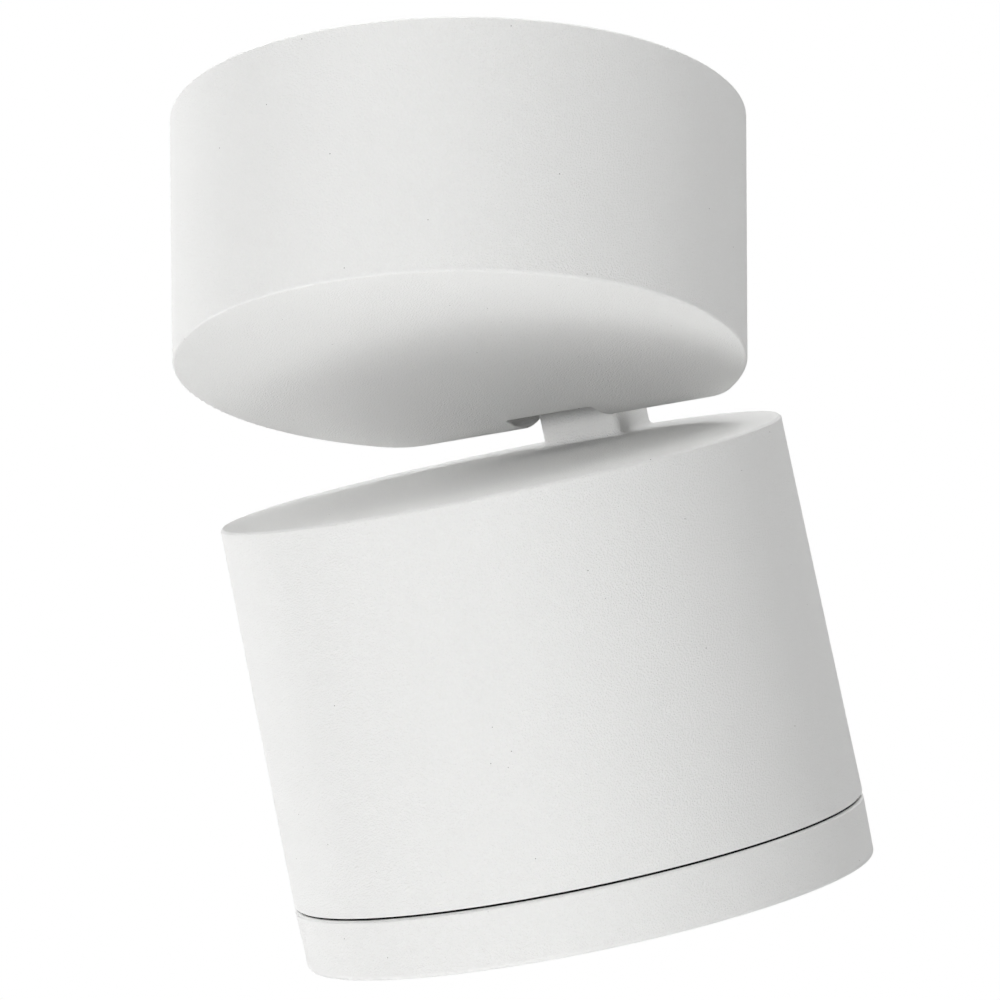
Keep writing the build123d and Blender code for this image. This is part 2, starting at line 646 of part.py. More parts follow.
def slot_outer_edges(shell):
    """Edges of the arm's slot on the canopy's outside, from one side of its mouth to the other."""
    edges = []
    for edge in shell.edges():
        middle = edge @ 0.5
        outside = middle.Z < floor_z - CANOPY_FLOOR / 2 or (
            middle.Y > hinge_y and middle.Z < slot_top + SLOT_EDGE_R
            and Vector(middle.X, middle.Y).length > canopy_outer_r(middle.Z) - CANOPY_EDGE_R)
        at_slot = abs(middle.X) < slot_half + SLOT_EDGE_R and middle.Y > slot_front - SLOT_EDGE_R
        if outside and at_slot:
            edges.append(edge)
    return edges


def arm_slot():
    """Slot through the underside and up the back wall, with rounded corners."""
    across = (-slot_half, slot_half)
    deep = under_z - CUT_SPARE
    out = LAMP_R + BACK_ROUND_R
    floor_cut = block(across, (slot_front, out), (deep, floor_z + CANOPY_FLOOR))
    floor_cut = fillet(floor_cut.edges().filter_by(Axis.Z).sort_by(Axis.Y)[:2], SLOT_CORNER_R)
    wall_cut = block(across, (slot_front + SLOT_CORNER_R, out), (deep, slot_top))
    wall_cut = fillet(wall_cut.edges().filter_by(Axis.Y).sort_by(Axis.Z)[-2:], SLOT_CORNER_R)
    keep_wall = block(across, (slot_front, hinge_y),
                      (floor_z + CANOPY_FLOOR, slot_top + CUT_SPARE))
    return floor_cut + (wall_cut - keep_wall)


# ------------------------------------------------------------------ hinge

def hinge_bracket():
    """Cast clevis on the canopy's floor: two cheeks, a front web and a top tie as stops."""
    lower = floor_z + BRACKET_LIFT
    back = hinge_y + CHEEK_BACK
    top = tie_low + WEB_T
    body = block((-cheek_outer, cheek_outer), (web_front, back), (lower, top))
    body -= under_arc(BACK_ROUND_R - CANOPY_FLOOR - BRACKET_LIFT)
    body -= block((-cheek_inner, cheek_inner), (web_back, back), (lower - CUT_SPARE, tie_low))
    foot_back = web_back + FOOT_WIDTH / 2
    for side in (-1, 1):
        x = sorted((side * cheek_inner, side * (cheek_outer + FOOT_WIDTH)))
        body += block(x, (foot_front, foot_back), (pad_top, foot_top))
        rib_x = sorted((side * cheek_inner, side * cheek_outer))
        rib = make_face(Polyline((rib_x[0], foot_front, foot_top), (rib_x[0], web_front, foot_top),
                                 (rib_x[0], web_front, hinge_z), close=True))
        body += extrude(rib, CHEEK_T, dir=(1, 0, 0))
    for x, y in bracket_holes():
        body -= tube(M4_R, pad_top, foot_top, x=x, y=y)
    body -= cross_rod(PIVOT_R, -cheek_outer, 0)
    return body - cross_rod(PIVOT_THREAD_R, 0, cheek_outer)


def bracket_screws():
    """Four cap screws through the bracket's feet into the floor."""
    tip = floor_z - CANOPY_FLOOR / 2
    return [screw(x, y, foot_top, tip, M4_R) for x, y in bracket_holes()]


def pivot_bolt():
    """Hollow hinge bolt; the lead enters it at one end and leaves through its side."""
    shank_end = cheek_inner - FACE_GAP
    bolt = cross_rod(PIVOT_HEAD_R, -cheek_outer - PIVOT_HEAD_T, -cheek_outer)
    bolt += cross_rod(PIVOT_R, -cheek_outer, shank_end)
    bolt += cross_rod(PIVOT_THREAD_R, shank_end, pivot_tip)
    bolt -= cross_rod(PIVOT_BORE_R, -cheek_outer - PIVOT_HEAD_T, PIVOT_WINDOW)
    reach = 3 * PIVOT_R
    spread = [WINDOW_SPARE, -TILT_TRAVEL / 2, -TILT_TRAVEL - WINDOW_SPARE]
    corners = [(0, hinge_y + reach * cos(radians(a)), hinge_z + reach * sin(radians(a)))
               for a in spread]
    wedge = make_face(Polyline((0, hinge_y, hinge_z), *corners, close=True))
    return bolt - extrude(wedge, PIVOT_WINDOW, dir=(1, 0, 0), both=True)


def pivot_nut():
    """Thin lock nut that squeezes the disc springs."""
    start = pivot_tip - PIVOT_TAIL - PIVOT_NUT_HEIGHT
    outline = RegularPolygon(PIVOT_NUT_FLATS / sqrt(3), 6)
    body = extrude(outline, PIVOT_NUT_HEIGHT)
    body -= tube(PIVOT_THREAD_R, 0, PIVOT_NUT_HEIGHT)
    return Pos(start, hinge_y, hinge_z) * Rot(0, 90, 0) * body


def disc_springs():
    """Two conical spring washers, stacked back to back, under the nut."""
    springs = []
    for index in range(DISC_SPRING_COUNT):
        low = cheek_outer + index * DISC_SPRING_T
        springs.append(cross_rod(DISC_SPRING_R, low, low + DISC_SPRING_T,
                                 inner=PIVOT_THREAD_R + RUNNING_GAP))
    return springs


def friction_washers():
    """Two plastic washers between the arm and the cheeks."""
    outer = ARM_DEPTH / 2 - ARM_EDGE_R - FRICTION_WASHER_MARGIN
    inner = PIVOT_R + RUNNING_GAP
    end = cheek_inner
    start = end - FRICTION_WASHER_T
    return [cross_rod(outer, start, end, inner=inner), cross_rod(outer, -end, -start, inner=inner)]


def arm_screw_holes():
    """Sideways places of the two screws that hold the arm on the head."""
    return (-ARM_SCREW_X, ARM_SCREW_X)


def hinge_arm():
    """Cast neck, round at the hinge and flat where it stands on the head."""
    flat = Polyline((0, arm_front, hinge_z), (0, arm_front, head_top), (0, arm_back, head_top),
                    (0, arm_back, hinge_z))
    crown = ThreePointArc((0, arm_back, hinge_z), (0, hinge_y, hinge_z + ARM_DEPTH / 2),
                          (0, arm_front, hinge_z))
    arm = extrude(make_face([flat, crown]), arm_half, dir=(1, 0, 0), both=True)
    sides = arm.faces().sort_by(Axis.X)
    outline = [edge for face in (sides[0], sides[-1]) for edge in face.edges()
               if edge.center().Z > head_top + ARM_EDGE_R]
    arm = fillet(outline, ARM_EDGE_R)
    arm -= cross_rod(PIVOT_R + RUNNING_GAP, -arm_half, arm_half)
    arm -= tube(LEAD_R + LEAD_BORE_GAP, head_top, hinge_z, y=hinge_y)
    for x in arm_screw_holes():
        arm -= tube(ARM_SCREW_R, head_top, head_top + ARM_SCREW_REACH + ARM_HOLE_SPARE, x=x, y=hinge_y)
    return arm


def arm_screws():
    """Two screws from inside the head up into the arm."""
    seat = head_top - HEAD_TOP_WALL
    tip = head_top + ARM_SCREW_REACH
    return [screw(x, hinge_y, seat, tip, ARM_SCREW_R) for x in arm_screw_holes()]


# ------------------------------------------------------------------ driver and wiring

def driver_case():
    """Moulded tub of the driver with two screw ears."""
    half = DRIVER_LENGTH / 2
    case = block((-half, half), (driver_front, driver_back),
                 (driver_low, driver_top - DRIVER_COVER_T))
    case = fillet(case.edges().filter_by(Axis.Z), DRIVER_CORNER_R)
    case -= block((-half + DRIVER_WALL, half - DRIVER_WALL),
                  (driver_front + DRIVER_WALL, driver_back - DRIVER_WALL),
                  (driver_low + DRIVER_WALL, driver_top))
    for x, y in driver_holes():
        side = 1 if x > 0 else -1
        ear_x = sorted((side * (half - DRIVER_WALL / 2), side * (half + DRIVER_EAR_LENGTH)))
        ear = block(ear_x, (y - DRIVER_EAR_WIDTH / 2, y + DRIVER_EAR_WIDTH / 2),
                    (driver_ear_z, driver_ear_z + DRIVER_EAR_T))
        case += ear - tube(M3_R, driver_ear_z, driver_ear_z + DRIVER_EAR_T, x=x, y=y)
    for x, y in board_posts():
        case += tube(BOARD_POST_R, driver_low + DRIVER_WALL / 2, board_low(), x=x, y=y)
    return case


def board_low():
    """Underside of the driver's board."""
    return driver_low + DRIVER_WALL + BOARD_LIFT


def board_posts():
    """Places of the four posts that carry the driver's board."""
    x = DRIVER_LENGTH / 2 - BOARD_POST_INSET
    return [(sx * x, y) for sx in (-1, 1)
            for y in (driver_front + BOARD_POST_INSET, driver_back - BOARD_POST_INSET)]


def driver_cover():
    """Lid of the driver, with a lip inside the tub."""
    half = DRIVER_LENGTH / 2
    seam = driver_top - DRIVER_COVER_T
    cover = block((-half, half), (driver_front, driver_back), (seam, driver_top))
    cover = fillet(cover.edges().filter_by(Axis.Z), DRIVER_CORNER_R)
    inset = DRIVER_WALL + COVER_LIP_GAP
    lip = block((-half + inset, half - inset), (driver_front + inset, driver_back - inset),
                (seam - COVER_LIP_DEPTH, seam))
    hollow = inset + COVER_LIP_T
    lip -= block((-half + hollow, half - hollow), (driver_front + hollow, driver_back - hollow),
                 (seam - COVER_LIP_DEPTH, seam))
    return cover + lip


def driver_board():
    """Circuit board on the four posts."""
    inset = DRIVER_WALL + BOARD_GAP
    half = DRIVER_LENGTH / 2 - inset
    return block((-half, half), (driver_front + inset, driver_back - inset),
                 (board_low(), board_low() + BOARD_T))


def driver_transformer():
    """Transformer: a taped winding between two ferrite halves."""
    middle = Pos(0, driver_y, board_low() + BOARD_T + CORE_SIZE[2] / 2)
    return middle * Box(*CORE_SIZE) + middle * Box(*COIL_SIZE)


def driver_capacitors():
    """Two upright smoothing capacitors."""
    base = board_low() + BOARD_T
    return [tube(CAPACITOR_R, base, base + CAPACITOR_HEIGHT, x=x, y=driver_y)
            for x in (-CAPACITOR_X, CAPACITOR_X)]


def driver_screws():
    """Two screws through the driver's ears."""
    seat = driver_ear_z + DRIVER_EAR_T
    return [screw(x, y, seat, floor_z, M3_R) for x, y in driver_holes()]


def terminal_poles():
    """Sideways places of the terminal block's poles."""
    first = TERMINAL_X - pole_pitch * (TERMINAL_POLES - 1) / 2
    return [first + pole_pitch * index for index in range(TERMINAL_POLES)]


def terminal_block():
    """Screw terminal block: one through wire hole and two screw wells to each pole."""
    half = TERMINAL_LENGTH / 2
    top = terminal_low + TERMINAL_HEIGHT
    body = block((TERMINAL_X - half, TERMINAL_X + half),
                 (terminal_front, terminal_front + TERMINAL_WIDTH), (terminal_low, top))
    body = fillet(body.edges().filter_by(Axis.Z), TERMINAL_CORNER_R)
    for x in terminal_poles():
        bore = Rot(90, 0, 0) * Cylinder(WIRE_HOLE_R, TERMINAL_WIDTH)
        body -= Pos(x, terminal_y, wire_z()) * bore
        for side in (-1, 1):
            body -= tube(POLE_SCREW_R, wire_z(), top, x=x, y=terminal_y + side * TERMINAL_WIDTH / 4)
    for x, y in terminal_holes():
        body -= tube(M25_R + RUNNING_GAP, terminal_low, top, x=x, y=y)
        body -= tube(FIXING_WELL_R, top - FIXING_WELL_DEPTH, top, x=x, y=y)
    return body


def wire_z():
    """Height of the terminal block's wire holes."""
    return terminal_low + TERMINAL_HEIGHT / 2


def terminal_screws():
    """Six slotted clamping screws in their wells."""
    screws = []
    low = wire_z() + JUMPER_R
    top = terminal_low + TERMINAL_HEIGHT - POLE_SCREW_SUNK
    slot_length, slot_width, slot_depth = POLE_SLOT
    for x in terminal_poles():
        for side in (-1, 1):
            y = terminal_y + side * TERMINAL_WIDTH / 4
            slot = block((x - slot_length / 2, x + slot_length / 2),
                         (y - slot_width / 2, y + slot_width / 2), (top - slot_depth, top))
            screws.append(tube(POLE_SCREW_R, low, top, x=x, y=y) - slot)
    return screws


def terminal_fixing_screws():
    """Two screws that hold the terminal block to the floor."""
    seat = terminal_low + TERMINAL_HEIGHT - FIXING_WELL_DEPTH
    return [screw(x, y, seat, floor_z, M25_R) for x, y in terminal_holes()]


def jumper_wires():
    """Live and neutral wires from the terminal block to the driver."""
    wires = []
    for x in (terminal_poles()[0], terminal_poles()[-1]):
        start = driver_back
        length = terminal_y - start
        rod = Rot(90, 0, 0) * Cylinder(JUMPER_R, length)
        wires.append(Pos(x, start + length / 2, wire_z()) * rod)
    return wires


def earth_wire():
    """Green and yellow wire from the middle pole to the earth screw on the canopy."""
    z = wire_z()
    arch_z = z + EARTH_WIRE_RISE
    tag_top = floor_z + EARTH_HEIGHT + EARTH_TAG_T
    pole = terminal_poles()[TERMINAL_POLES // 2]
    behind = terminal_front + TERMINAL_WIDTH + EARTH_WIRE_OUT
    end_x = earth_x + EARTH_WIRE_END[0]
    end_y = EARTH_Y + EARTH_WIRE_END[1]
    points = [(pole, terminal_y, z), (pole, behind, z),
              (pole - EARTH_WIRE_TURN, behind + EARTH_WIRE_SWAY, arch_z),
              (earth_x / 2 + EARTH_WIRE_SWAY, behind - EARTH_WIRE_LEAN, arch_z),
              (end_x + EARTH_WIRE_LEAN, end_y + EARTH_WIRE_LEAN, tag_top + EARTH_WIRE_LIFT),
              (end_x, end_y, tag_top + JUMPER_R)]
    return wire(points, JUMPER_R, bend_radii(points))


def earth_screw():
    """Earth screw with its ring tag on the canopy's boss."""
    seat = floor_z + EARTH_HEIGHT
    tag = tube(EARTH_TAG_R, seat, seat + EARTH_TAG_T, x=earth_x, y=EARTH_Y)
    return tag + screw(earth_x, EARTH_Y, seat + EARTH_TAG_T, floor_z, M4_R)


def cord_clamp():
    """Moulded bridge that holds the mains cable, arched between its two screws."""
    seat = floor_z + CLAMP_HEIGHT
    (x, y_low), (_, y_high) = clamp_holes()
    half = CLAMP_WIDTH / 2
    arch_r = CLAMP_CORD_R + CLAMP_ARCH_T
    along = Pos(x, CLAMP_Y, seat) * Rot(0, 90, 0)
    bridge = block((x - half, x + half), (y_low - CLAMP_END, y_high + CLAMP_END),
                   (seat, seat + CLAMP_T))
    bridge += along * Cylinder(arch_r, CLAMP_WIDTH)
    bridge -= along * Cylinder(CLAMP_CORD_R, CLAMP_WIDTH)
    bridge -= block((x - half, x + half), (y_low, y_high), (seat - arch_r, seat))
    for hole_x, hole_y in clamp_holes():
        bridge -= tube(M3_R, seat, seat + CLAMP_T, x=hole_x, y=hole_y)
    return bridge


def clamp_screws():
    """Two screws of the cord clamp."""
    seat = floor_z + CLAMP_HEIGHT + CLAMP_T
    return [screw(x, y, seat, floor_z, M3_R) for x, y in clamp_holes()]


def canopy_lead():
    """Lead from the driver round the clevis and into the hollow hinge bolt."""
    z = driver_top - LEAD_EXIT_DROP
    points = [(-LEAD_EXIT_X, driver_back, z), (-LEAD_EXIT_X, driver_back + LEAD_RUN, z),
              (-LEAD_EXIT_X - LEAD_BOW, hinge_y - LEAD_RUN, hinge_z),
              (-LEAD_EXIT_X, hinge_y, hinge_z), (lead_joint_x, hinge_y, hinge_z)]
    return wire(points, LEAD_R, bend_radii(points))


def head_lead():
    """Lead from the hinge down through the arm and in under the heat sink."""
    level = (holder_low + sink_low) / 2
    points = [(lead_joint_x, hinge_y, hinge_z), (0, hinge_y, hinge_z), (0, hinge_y, level),
              (0, HOLDER_R, level)]
    return wire(points, LEAD_R, [LEAD_BEND_R, LEAD_BEND_R])


# ------------------------------------------------------------------ head

def head_body():
    """Turned aluminium can, closed on top, with three bayonet ledges inside its mouth."""
    inner_top = head_top - HEAD_TOP_WALL
    can = turned([(0, head_top), (head_top_r - HEAD_EDGE, head_top),
                  (head_top_r, head_top - HEAD_EDGE), (head_low_r, head_low + HEAD_EDGE),
                  (head_low_r - HEAD_EDGE, head_low), (head_inner_r, head_low),
                  (head_inner_r, inner_top), (0, inner_top)])
    inner = neck_r + LEDGE_GAP
    wall = head_inner_r + HEAD_WALL / 2
    for angle in LUG_ANGLES:
        can += ring_arc(inner, wall, ledge_top - LEDGE_HEIGHT, ledge_top, angle, LEDGE_SPAN)
        for edge in (-LUG_SPAN / 2 - TWIST_STOP_PLAY - TWIST_STOP_SPAN / 2,
                     TWIST_TRAVEL + LUG_SPAN / 2 + TWIST_STOP_PLAY + TWIST_STOP_SPAN / 2):
            can += ring_arc(inner, wall, ledge_top - LUG_PLAY, neck_top, angle - edge,
                            TWIST_STOP_SPAN)
    can -= tube(LEAD_R + LEAD_BORE_GAP, inner_top, head_top, y=hinge_y)
    for x in arm_screw_holes():
        can -= tube(ARM_SCREW_R, inner_top, head_top, x=x, y=hinge_y)
    for x, y in sink_posts():
        can -= tube(M4_R, inner_top, inner_top + SINK_SCREW_BITE, x=x, y=y)
    return can


def sink_posts():
    """Places of the heat sink's three screw posts."""
    return [(SINK_POST_CIRCLE_R * cos(radians(a)), SINK_POST_CIRCLE_R * sin(radians(a)))
            for a in SINK_POST_ANGLES]


def heat_sink():
    """Die-cast heat sink: base, core and radial fins, pulled up against the head's top wall."""
    ceiling = head_top - HEAD_TOP_WALL
    sink = tube(sink_r, sink_low, sink_base_top)
    sink += tube(SINK_CORE_R, sink_base_top, ceiling)
    fin = block((SINK_CORE_R - FUSE_DEPTH, sink_r - SINK_FIN_INSET),
                (-SINK_FIN_T / 2, SINK_FIN_T / 2),
                (sink_base_top - FUSE_DEPTH, ceiling - SINK_FIN_TOP_GAP))
    for index in range(SINK_FINS):
        sink += radial(fin, (index + 0.5) * 360 / SINK_FINS)
    for x, y in sink_posts():
        sink += tube(SINK_POST_R, sink_base_top - FUSE_DEPTH, ceiling, x=x, y=y)
        sink -= tube(M4_R, sink_low, ceiling, x=x, y=y)
    for side in (-1, 1):
        sink -= tube(M3_R, sink_low, sink_base_top, x=side * HOLDER_SCREW_X)
    return sink


def heat_sink_screws():
    """Three long screws up through the heat sink's posts."""
    tip = head_top - HEAD_TOP_WALL + SINK_SCREW_BITE
    return [screw(x, y, sink_low, tip, M4_R) for x, y in sink_posts()]


def thermal_pad():
    """Soft pad that carries heat from the LED to the heat sink."""
    return block((-PAD_HALF, PAD_HALF), (-PAD_HALF, PAD_HALF), (sink_low - PAD_T, sink_low))


def led_board():
    """Ceramic board of the LED."""
    return block((-LED_HALF, LED_HALF), (-LED_HALF, LED_HALF), (led_low, led_low + LED_T))


def led_emitter():
    """Round yellow light-emitting face."""
    return tube(EMITTER_R, led_low - EMITTER_T, led_low)


def led_holder():
    """Moulded clamp ring that presses the LED against its pad."""
    holder = tube(HOLDER_R, holder_low, sink_low, inner=HOLDER_HOLE_R)
    pocket = PAD_HALF + HOLDER_POCKET_GAP
    holder -= block((-pocket, pocket), (-pocket, pocket), (led_low, sink_low))
    for side in (-1, 1):
        x = side * HOLDER_SCREW_X
        holder -= tube(M3_R, holder_low, sink_low, x=x)
        holder -= tube(HOLDER_WELL_R, holder_low, holder_low + HOLDER_WELL_DEPTH, x=x)
    return holder


def holder_screws():
    """Two screws sunk in the LED holder."""
    seat = holder_low + HOLDER_WELL_DEPTH
    tip = sink_low + HOLDER_SCREW_BITE
    return [screw(side * HOLDER_SCREW_X, 0, seat, tip, M3_R) for side in (-1, 1)]


def reflector():
    """Spun parabolic reflector on the LED holder's face."""
    depth = holder_low - reflector_low
    growth = (reflector_rim_r ** 2 - REFLECTOR_NECK_R ** 2) / depth
    drops = [depth * (n / REFLECTOR_BANDS) ** 2 for n in range(REFLECTOR_BANDS + 1)]
    inside = [(sqrt(REFLECTOR_NECK_R ** 2 + growth * drop), holder_low - drop) for drop in drops]
    outside = [(radius + REFLECTOR_T, height) for radius, height in reversed(inside)]
    bowl = turned(inside + outside)
    return bowl + tube(REFLECTOR_SEAT_R, holder_low - REFLECTOR_T, holder_low,
                       inner=REFLECTOR_NECK_R + REFLECTOR_T / 2)


# ------------------------------------------------------------------ front ring, on its bayonet

def front_ring():
    """Outer ring with its neck, three bayonet lugs and the shoulder that carries the glass."""
    low_r = head_low_r - RING_HEIGHT * tan(radians(RING_TAPER))
    mouth_r = low_r - RING_WALL
    web_low = shoulder_top - SHOULDER_T
    ring = turned([(neck_inner_r, neck_top), (neck_r, neck_top), (neck_r, ring_top),
                   (head_low_r - HEAD_EDGE, ring_top), (head_low_r, ring_top - HEAD_EDGE),
                   (low_r, ring_low), (mouth_r, ring_low), (mouth_r, web_low),
                   (shoulder_r, web_low), (shoulder_r, shoulder_top),
                   (neck_inner_r, shoulder_top)])
    edge = ring.edges().filter_by(GeomType.CIRCLE).sort_by(Axis.Z)[:2].sort_by(SortBy.RADIUS)[-1]
    ring = fillet(edge, RING_EDGE_R)
    for angle in LUG_ANGLES:
        ring += ring_arc(neck_r - NECK_WALL / 2, head_inner_r - LUG_GAP, lug_low, neck_top,
                         angle, LUG_SPAN)
    groove = glass_low + GLASS_T
    return ring - tube(neck_inner_r + SNAP_RING_DEPTH, groove, groove + SNAP_RING_T,
                       inner=neck_inner_r - CUT_SPARE)


def front_seal():
    """Black rubber seal in the seam, set back behind the white surfaces."""
    return tube(head_low_r - SEAM_SETBACK, ring_top, head_low, inner=neck_r + LUG_GAP)


def glass_gasket():
    """Rubber ring between the glass and its shoulder."""
    return tube(glass_r, shoulder_top, glass_low, inner=shoulder_r + GLASS_GAP)


def front_glass():
    """Clear tempered glass."""
    return tube(glass_r, glass_low, glass_low + GLASS_T)


def snap_ring():
    """Split spring ring that holds the glass down."""
    low = glass_low + GLASS_T
    outer = neck_inner_r + SNAP_RING_DEPTH
    return ring_arc(outer - SNAP_RING_WIDTH, outer, low, low + SNAP_RING_T, 0, SNAP_RING_SPAN)


def anti_glare_baffle():
    """Black stepped cone between the glass and the mouth."""
    low_r = head_low_r - RING_HEIGHT * tan(radians(RING_TAPER))
    outer = low_r - RING_WALL - BAFFLE_GAP
    top = shoulder_top - SHOULDER_T
    bottom = ring_low + RING_EDGE_R
    step_w = (outer - BAFFLE_LIP - shoulder_r) / BAFFLE_STEPS
    step_h = (top - bottom) / BAFFLE_STEPS
    outline = [(outer, top), (outer, bottom)]
    radius = outer - BAFFLE_LIP
    height = bottom
    for _ in range(BAFFLE_STEPS):
        lean = radius - step_w * BAFFLE_LEAN_SHARE
        shelf = height + step_h * BAFFLE_RISE_SHARE
        radius -= step_w
        outline += [(radius + step_w, height), (lean, shelf), (radius, shelf)]
        height += step_h
    outline.append((radius, top))
    return turned(outline)


# ------------------------------------------------------------------ the lamp

upright_pieces = [
    ceiling_plate, pan_stem, cable_grommet, pan_spring, pan_nut, fixed_stop_pin,
    turning_stop_pin, thrust_washers, turntable, grub_screws, canopy_housing,
    hinge_bracket, bracket_screws, pivot_bolt, pivot_nut, disc_springs, friction_washers,
    driver_case, driver_cover, driver_board, driver_transformer, driver_capacitors,
    driver_screws, terminal_block, terminal_screws, terminal_fixing_screws, jumper_wires,
    earth_wire, earth_screw, cord_clamp, clamp_screws, canopy_lead,
]
head_pieces = [
    hinge_arm, arm_screws, head_lead, head_body, heat_sink, heat_sink_screws, thermal_pad,
    led_board, led_emitter, led_holder, holder_screws, reflector,
    front_ring, front_seal, glass_gasket, front_glass, snap_ring, anti_glare_baffle,
]


def write(make, place):
    """Write one sub-part under its function's name; a list becomes a group of solids."""
    made = make()
    solids = [place(piece) for piece in (made if isinstance(made, list) else [made])]
    shape = Compound(children=solids) if len(solids) > 1 else solids[0]
    export_step(shape, f"parts/{make.__name__}.step")


for maker in upright_pieces:
    write(maker, lambda piece: piece)
for maker in head_pieces:
    write(maker, tilted)
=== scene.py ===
"""Surface mounted ceiling spotlight: finishes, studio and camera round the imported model."""

import json
import math

import bpy
from mathutils import Matrix, Vector


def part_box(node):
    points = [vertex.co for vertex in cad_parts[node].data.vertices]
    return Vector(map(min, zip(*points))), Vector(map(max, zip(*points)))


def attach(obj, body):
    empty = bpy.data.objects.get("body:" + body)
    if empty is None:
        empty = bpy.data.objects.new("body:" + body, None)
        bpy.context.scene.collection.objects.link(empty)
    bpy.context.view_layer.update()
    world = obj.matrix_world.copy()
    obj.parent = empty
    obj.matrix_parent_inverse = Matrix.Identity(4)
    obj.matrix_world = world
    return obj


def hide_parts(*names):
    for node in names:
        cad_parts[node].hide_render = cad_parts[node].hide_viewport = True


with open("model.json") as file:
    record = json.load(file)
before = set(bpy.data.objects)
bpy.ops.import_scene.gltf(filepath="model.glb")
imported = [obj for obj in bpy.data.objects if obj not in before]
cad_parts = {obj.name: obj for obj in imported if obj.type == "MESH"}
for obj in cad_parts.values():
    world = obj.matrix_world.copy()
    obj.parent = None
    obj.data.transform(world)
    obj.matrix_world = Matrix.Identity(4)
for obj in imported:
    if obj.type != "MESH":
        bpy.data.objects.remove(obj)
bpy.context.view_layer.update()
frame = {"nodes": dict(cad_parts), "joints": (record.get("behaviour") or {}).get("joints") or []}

bpy.ops.object.select_all(action="DESELECT")
nodes = frame["nodes"]


# ---------------------------------------------------------------- camera
# A long lens about a metre off, below the lamp and to its right, looking up at it. It is turned by
# half a degree, as the photograph is.

camera_place = Vector((0.4942, -0.9099, -0.3853))
camera_azimuth = 28.14      # degrees
camera_rise = 16.96
camera_roll = -0.53
camera_lens = 228.6         # mm
camera_sensor = 36          # mm

bpy.ops.object.camera_add(location=camera_place)
camera = bpy.context.object
camera.name = "camera"
turn = Matrix.Rotation(math.radians(camera_azimuth), 4, "Z")
turn @= Matrix.Rotation(math.radians(90 + camera_rise), 4, "X")
turn @= Matrix.Rotation(math.radians(camera_roll), 4, "Z")
camera.rotation_euler = turn.to_euler()
camera.data.lens = camera_lens
camera.data.sensor_width = camera_sensor
camera.data.clip_start = 0.01
bpy.context.scene.camera = camera
bpy.context.scene.view_settings.view_transform = "Standard"


# ---------------------------------------------------------------- studio
# Soft boxes round the lamp and a pale floor a room's height below the ceiling.
# What the camera, glass and metal see beyond them is plain white.

def srgb(code):
    """Linear colour of an sRGB hex value such as #EDECEA."""
    parts = [int(code[i:i + 2], 16) / 255 for i in (1, 3, 5)]
    linear = [c / 12.92 if c <= 0.04045 else ((c + 0.055) / 1.055) ** 2.4 for c in parts]
    return (*linear, 1.0)


def node(tree, kind, inputs, **settings):
    """Adds a shader node; an input is a value, or another node's output to link."""
    made = tree.nodes.new("ShaderNode" + kind)
    for name, value in settings.items():
        setattr(made, name, value)
    for name, value in inputs.items():
        if isinstance(value, bpy.types.NodeSocket):
            tree.links.new(value, made.inputs[name])
        else:
            made.inputs[name].default_value = value
    return made


def seen_by_camera(tree, otherwise, strength):
    """A strength for what the camera sees, also in metal and glass, and one for other rays."""
    ray = node(tree, "LightPath", {}).outputs
    seen = node(tree, "Math", {0: ray["Is Camera Ray"], 1: ray["Is Glossy Ray"]},
                operation="MAXIMUM")
    seen = node(tree, "Math", {0: seen.outputs[0], 1: ray["Is Transmission Ray"]},
                operation="MAXIMUM")
    made = node(tree, "MapRange", {"Value": seen.outputs[0], "To Min": otherwise,
                                   "To Max": strength})
    return made.outputs[0]


room_height = 2.4
floor_size = 30
ambient = 0.03              # the world's light on the object; 1 is white
floor_glow = 0.75           # keeps the floor pale to the camera where little light reaches it

world = bpy.data.worlds.new("studio")
bpy.context.scene.world = world
world.use_nodes = True
tree = world.node_tree
tree.nodes.clear()
glow = node(tree, "Background", {"Color": srgb("#FFFFFF"),
                                 "Strength": seen_by_camera(tree, ambient, 1.0)})
node(tree, "OutputWorld", {"Surface": glow.outputs[0]})

# The strengths give the white coat about the photograph's tones.
lamp_centre = Vector((0, 0.02, -0.07))
box_distance = 1.1
soft_boxes = [
    # name, azimuth, elevation, size, watts
    ("low_left_box", -105, -25, 0.7, 3.4),
    ("left_strip", -105, 22, 0.25, 5.0),
    ("high_left_box", -60, 45, 0.7, 2.8),
    ("under_left_box", -60, -60, 0.7, 1.5),
    ("front_lamp", -5, -12, 0.25, 4.8),
    ("front_box", 0, -25, 0.7, 1.5),
    ("floor_box", 28, -60, 0.7, 4.2),
    ("high_right_box", 60, 45, 0.7, 5.0),
    ("low_right_box", 120, -60, 0.7, 2.4),
    ("back_box", 140, 10, 0.7, 3.2),
    ("top_box", 0, 85, 0.7, 7.0),
]
for name, azimuth, elevation, size, watts in soft_boxes:
    a, e = math.radians(azimuth), math.radians(elevation)
    away = Vector((math.sin(a) * math.cos(e), -math.cos(a) * math.cos(e), math.sin(e)))
    bpy.ops.object.light_add(type="AREA", location=lamp_centre + away * box_distance)
    box = bpy.context.object
    box.name = name
    box.rotation_euler = away.to_track_quat("Z", "Y").to_euler()
    box.data.size = size
    box.data.energy = watts
    box.visible_camera = False

bpy.ops.mesh.primitive_plane_add(size=floor_size, location=(0, 0, -room_height))
floor = bpy.context.object
floor.name = "floor"
paint = bpy.data.materials.new("pale_floor")
paint.use_nodes = True
tree = paint.node_tree
tree.nodes.clear()
shade = node(tree, "BsdfPrincipled", {"Base Color": srgb("#F4F4F2"), "Roughness": 0.8,
                                      "Emission Color": srgb("#FFFFFF"),
                                      "Emission Strength": seen_by_camera(tree, 0.0, floor_glow)})
node(tree, "OutputMaterial", {"Surface": shade.outputs[0]})
floor.data.materials.append(paint)


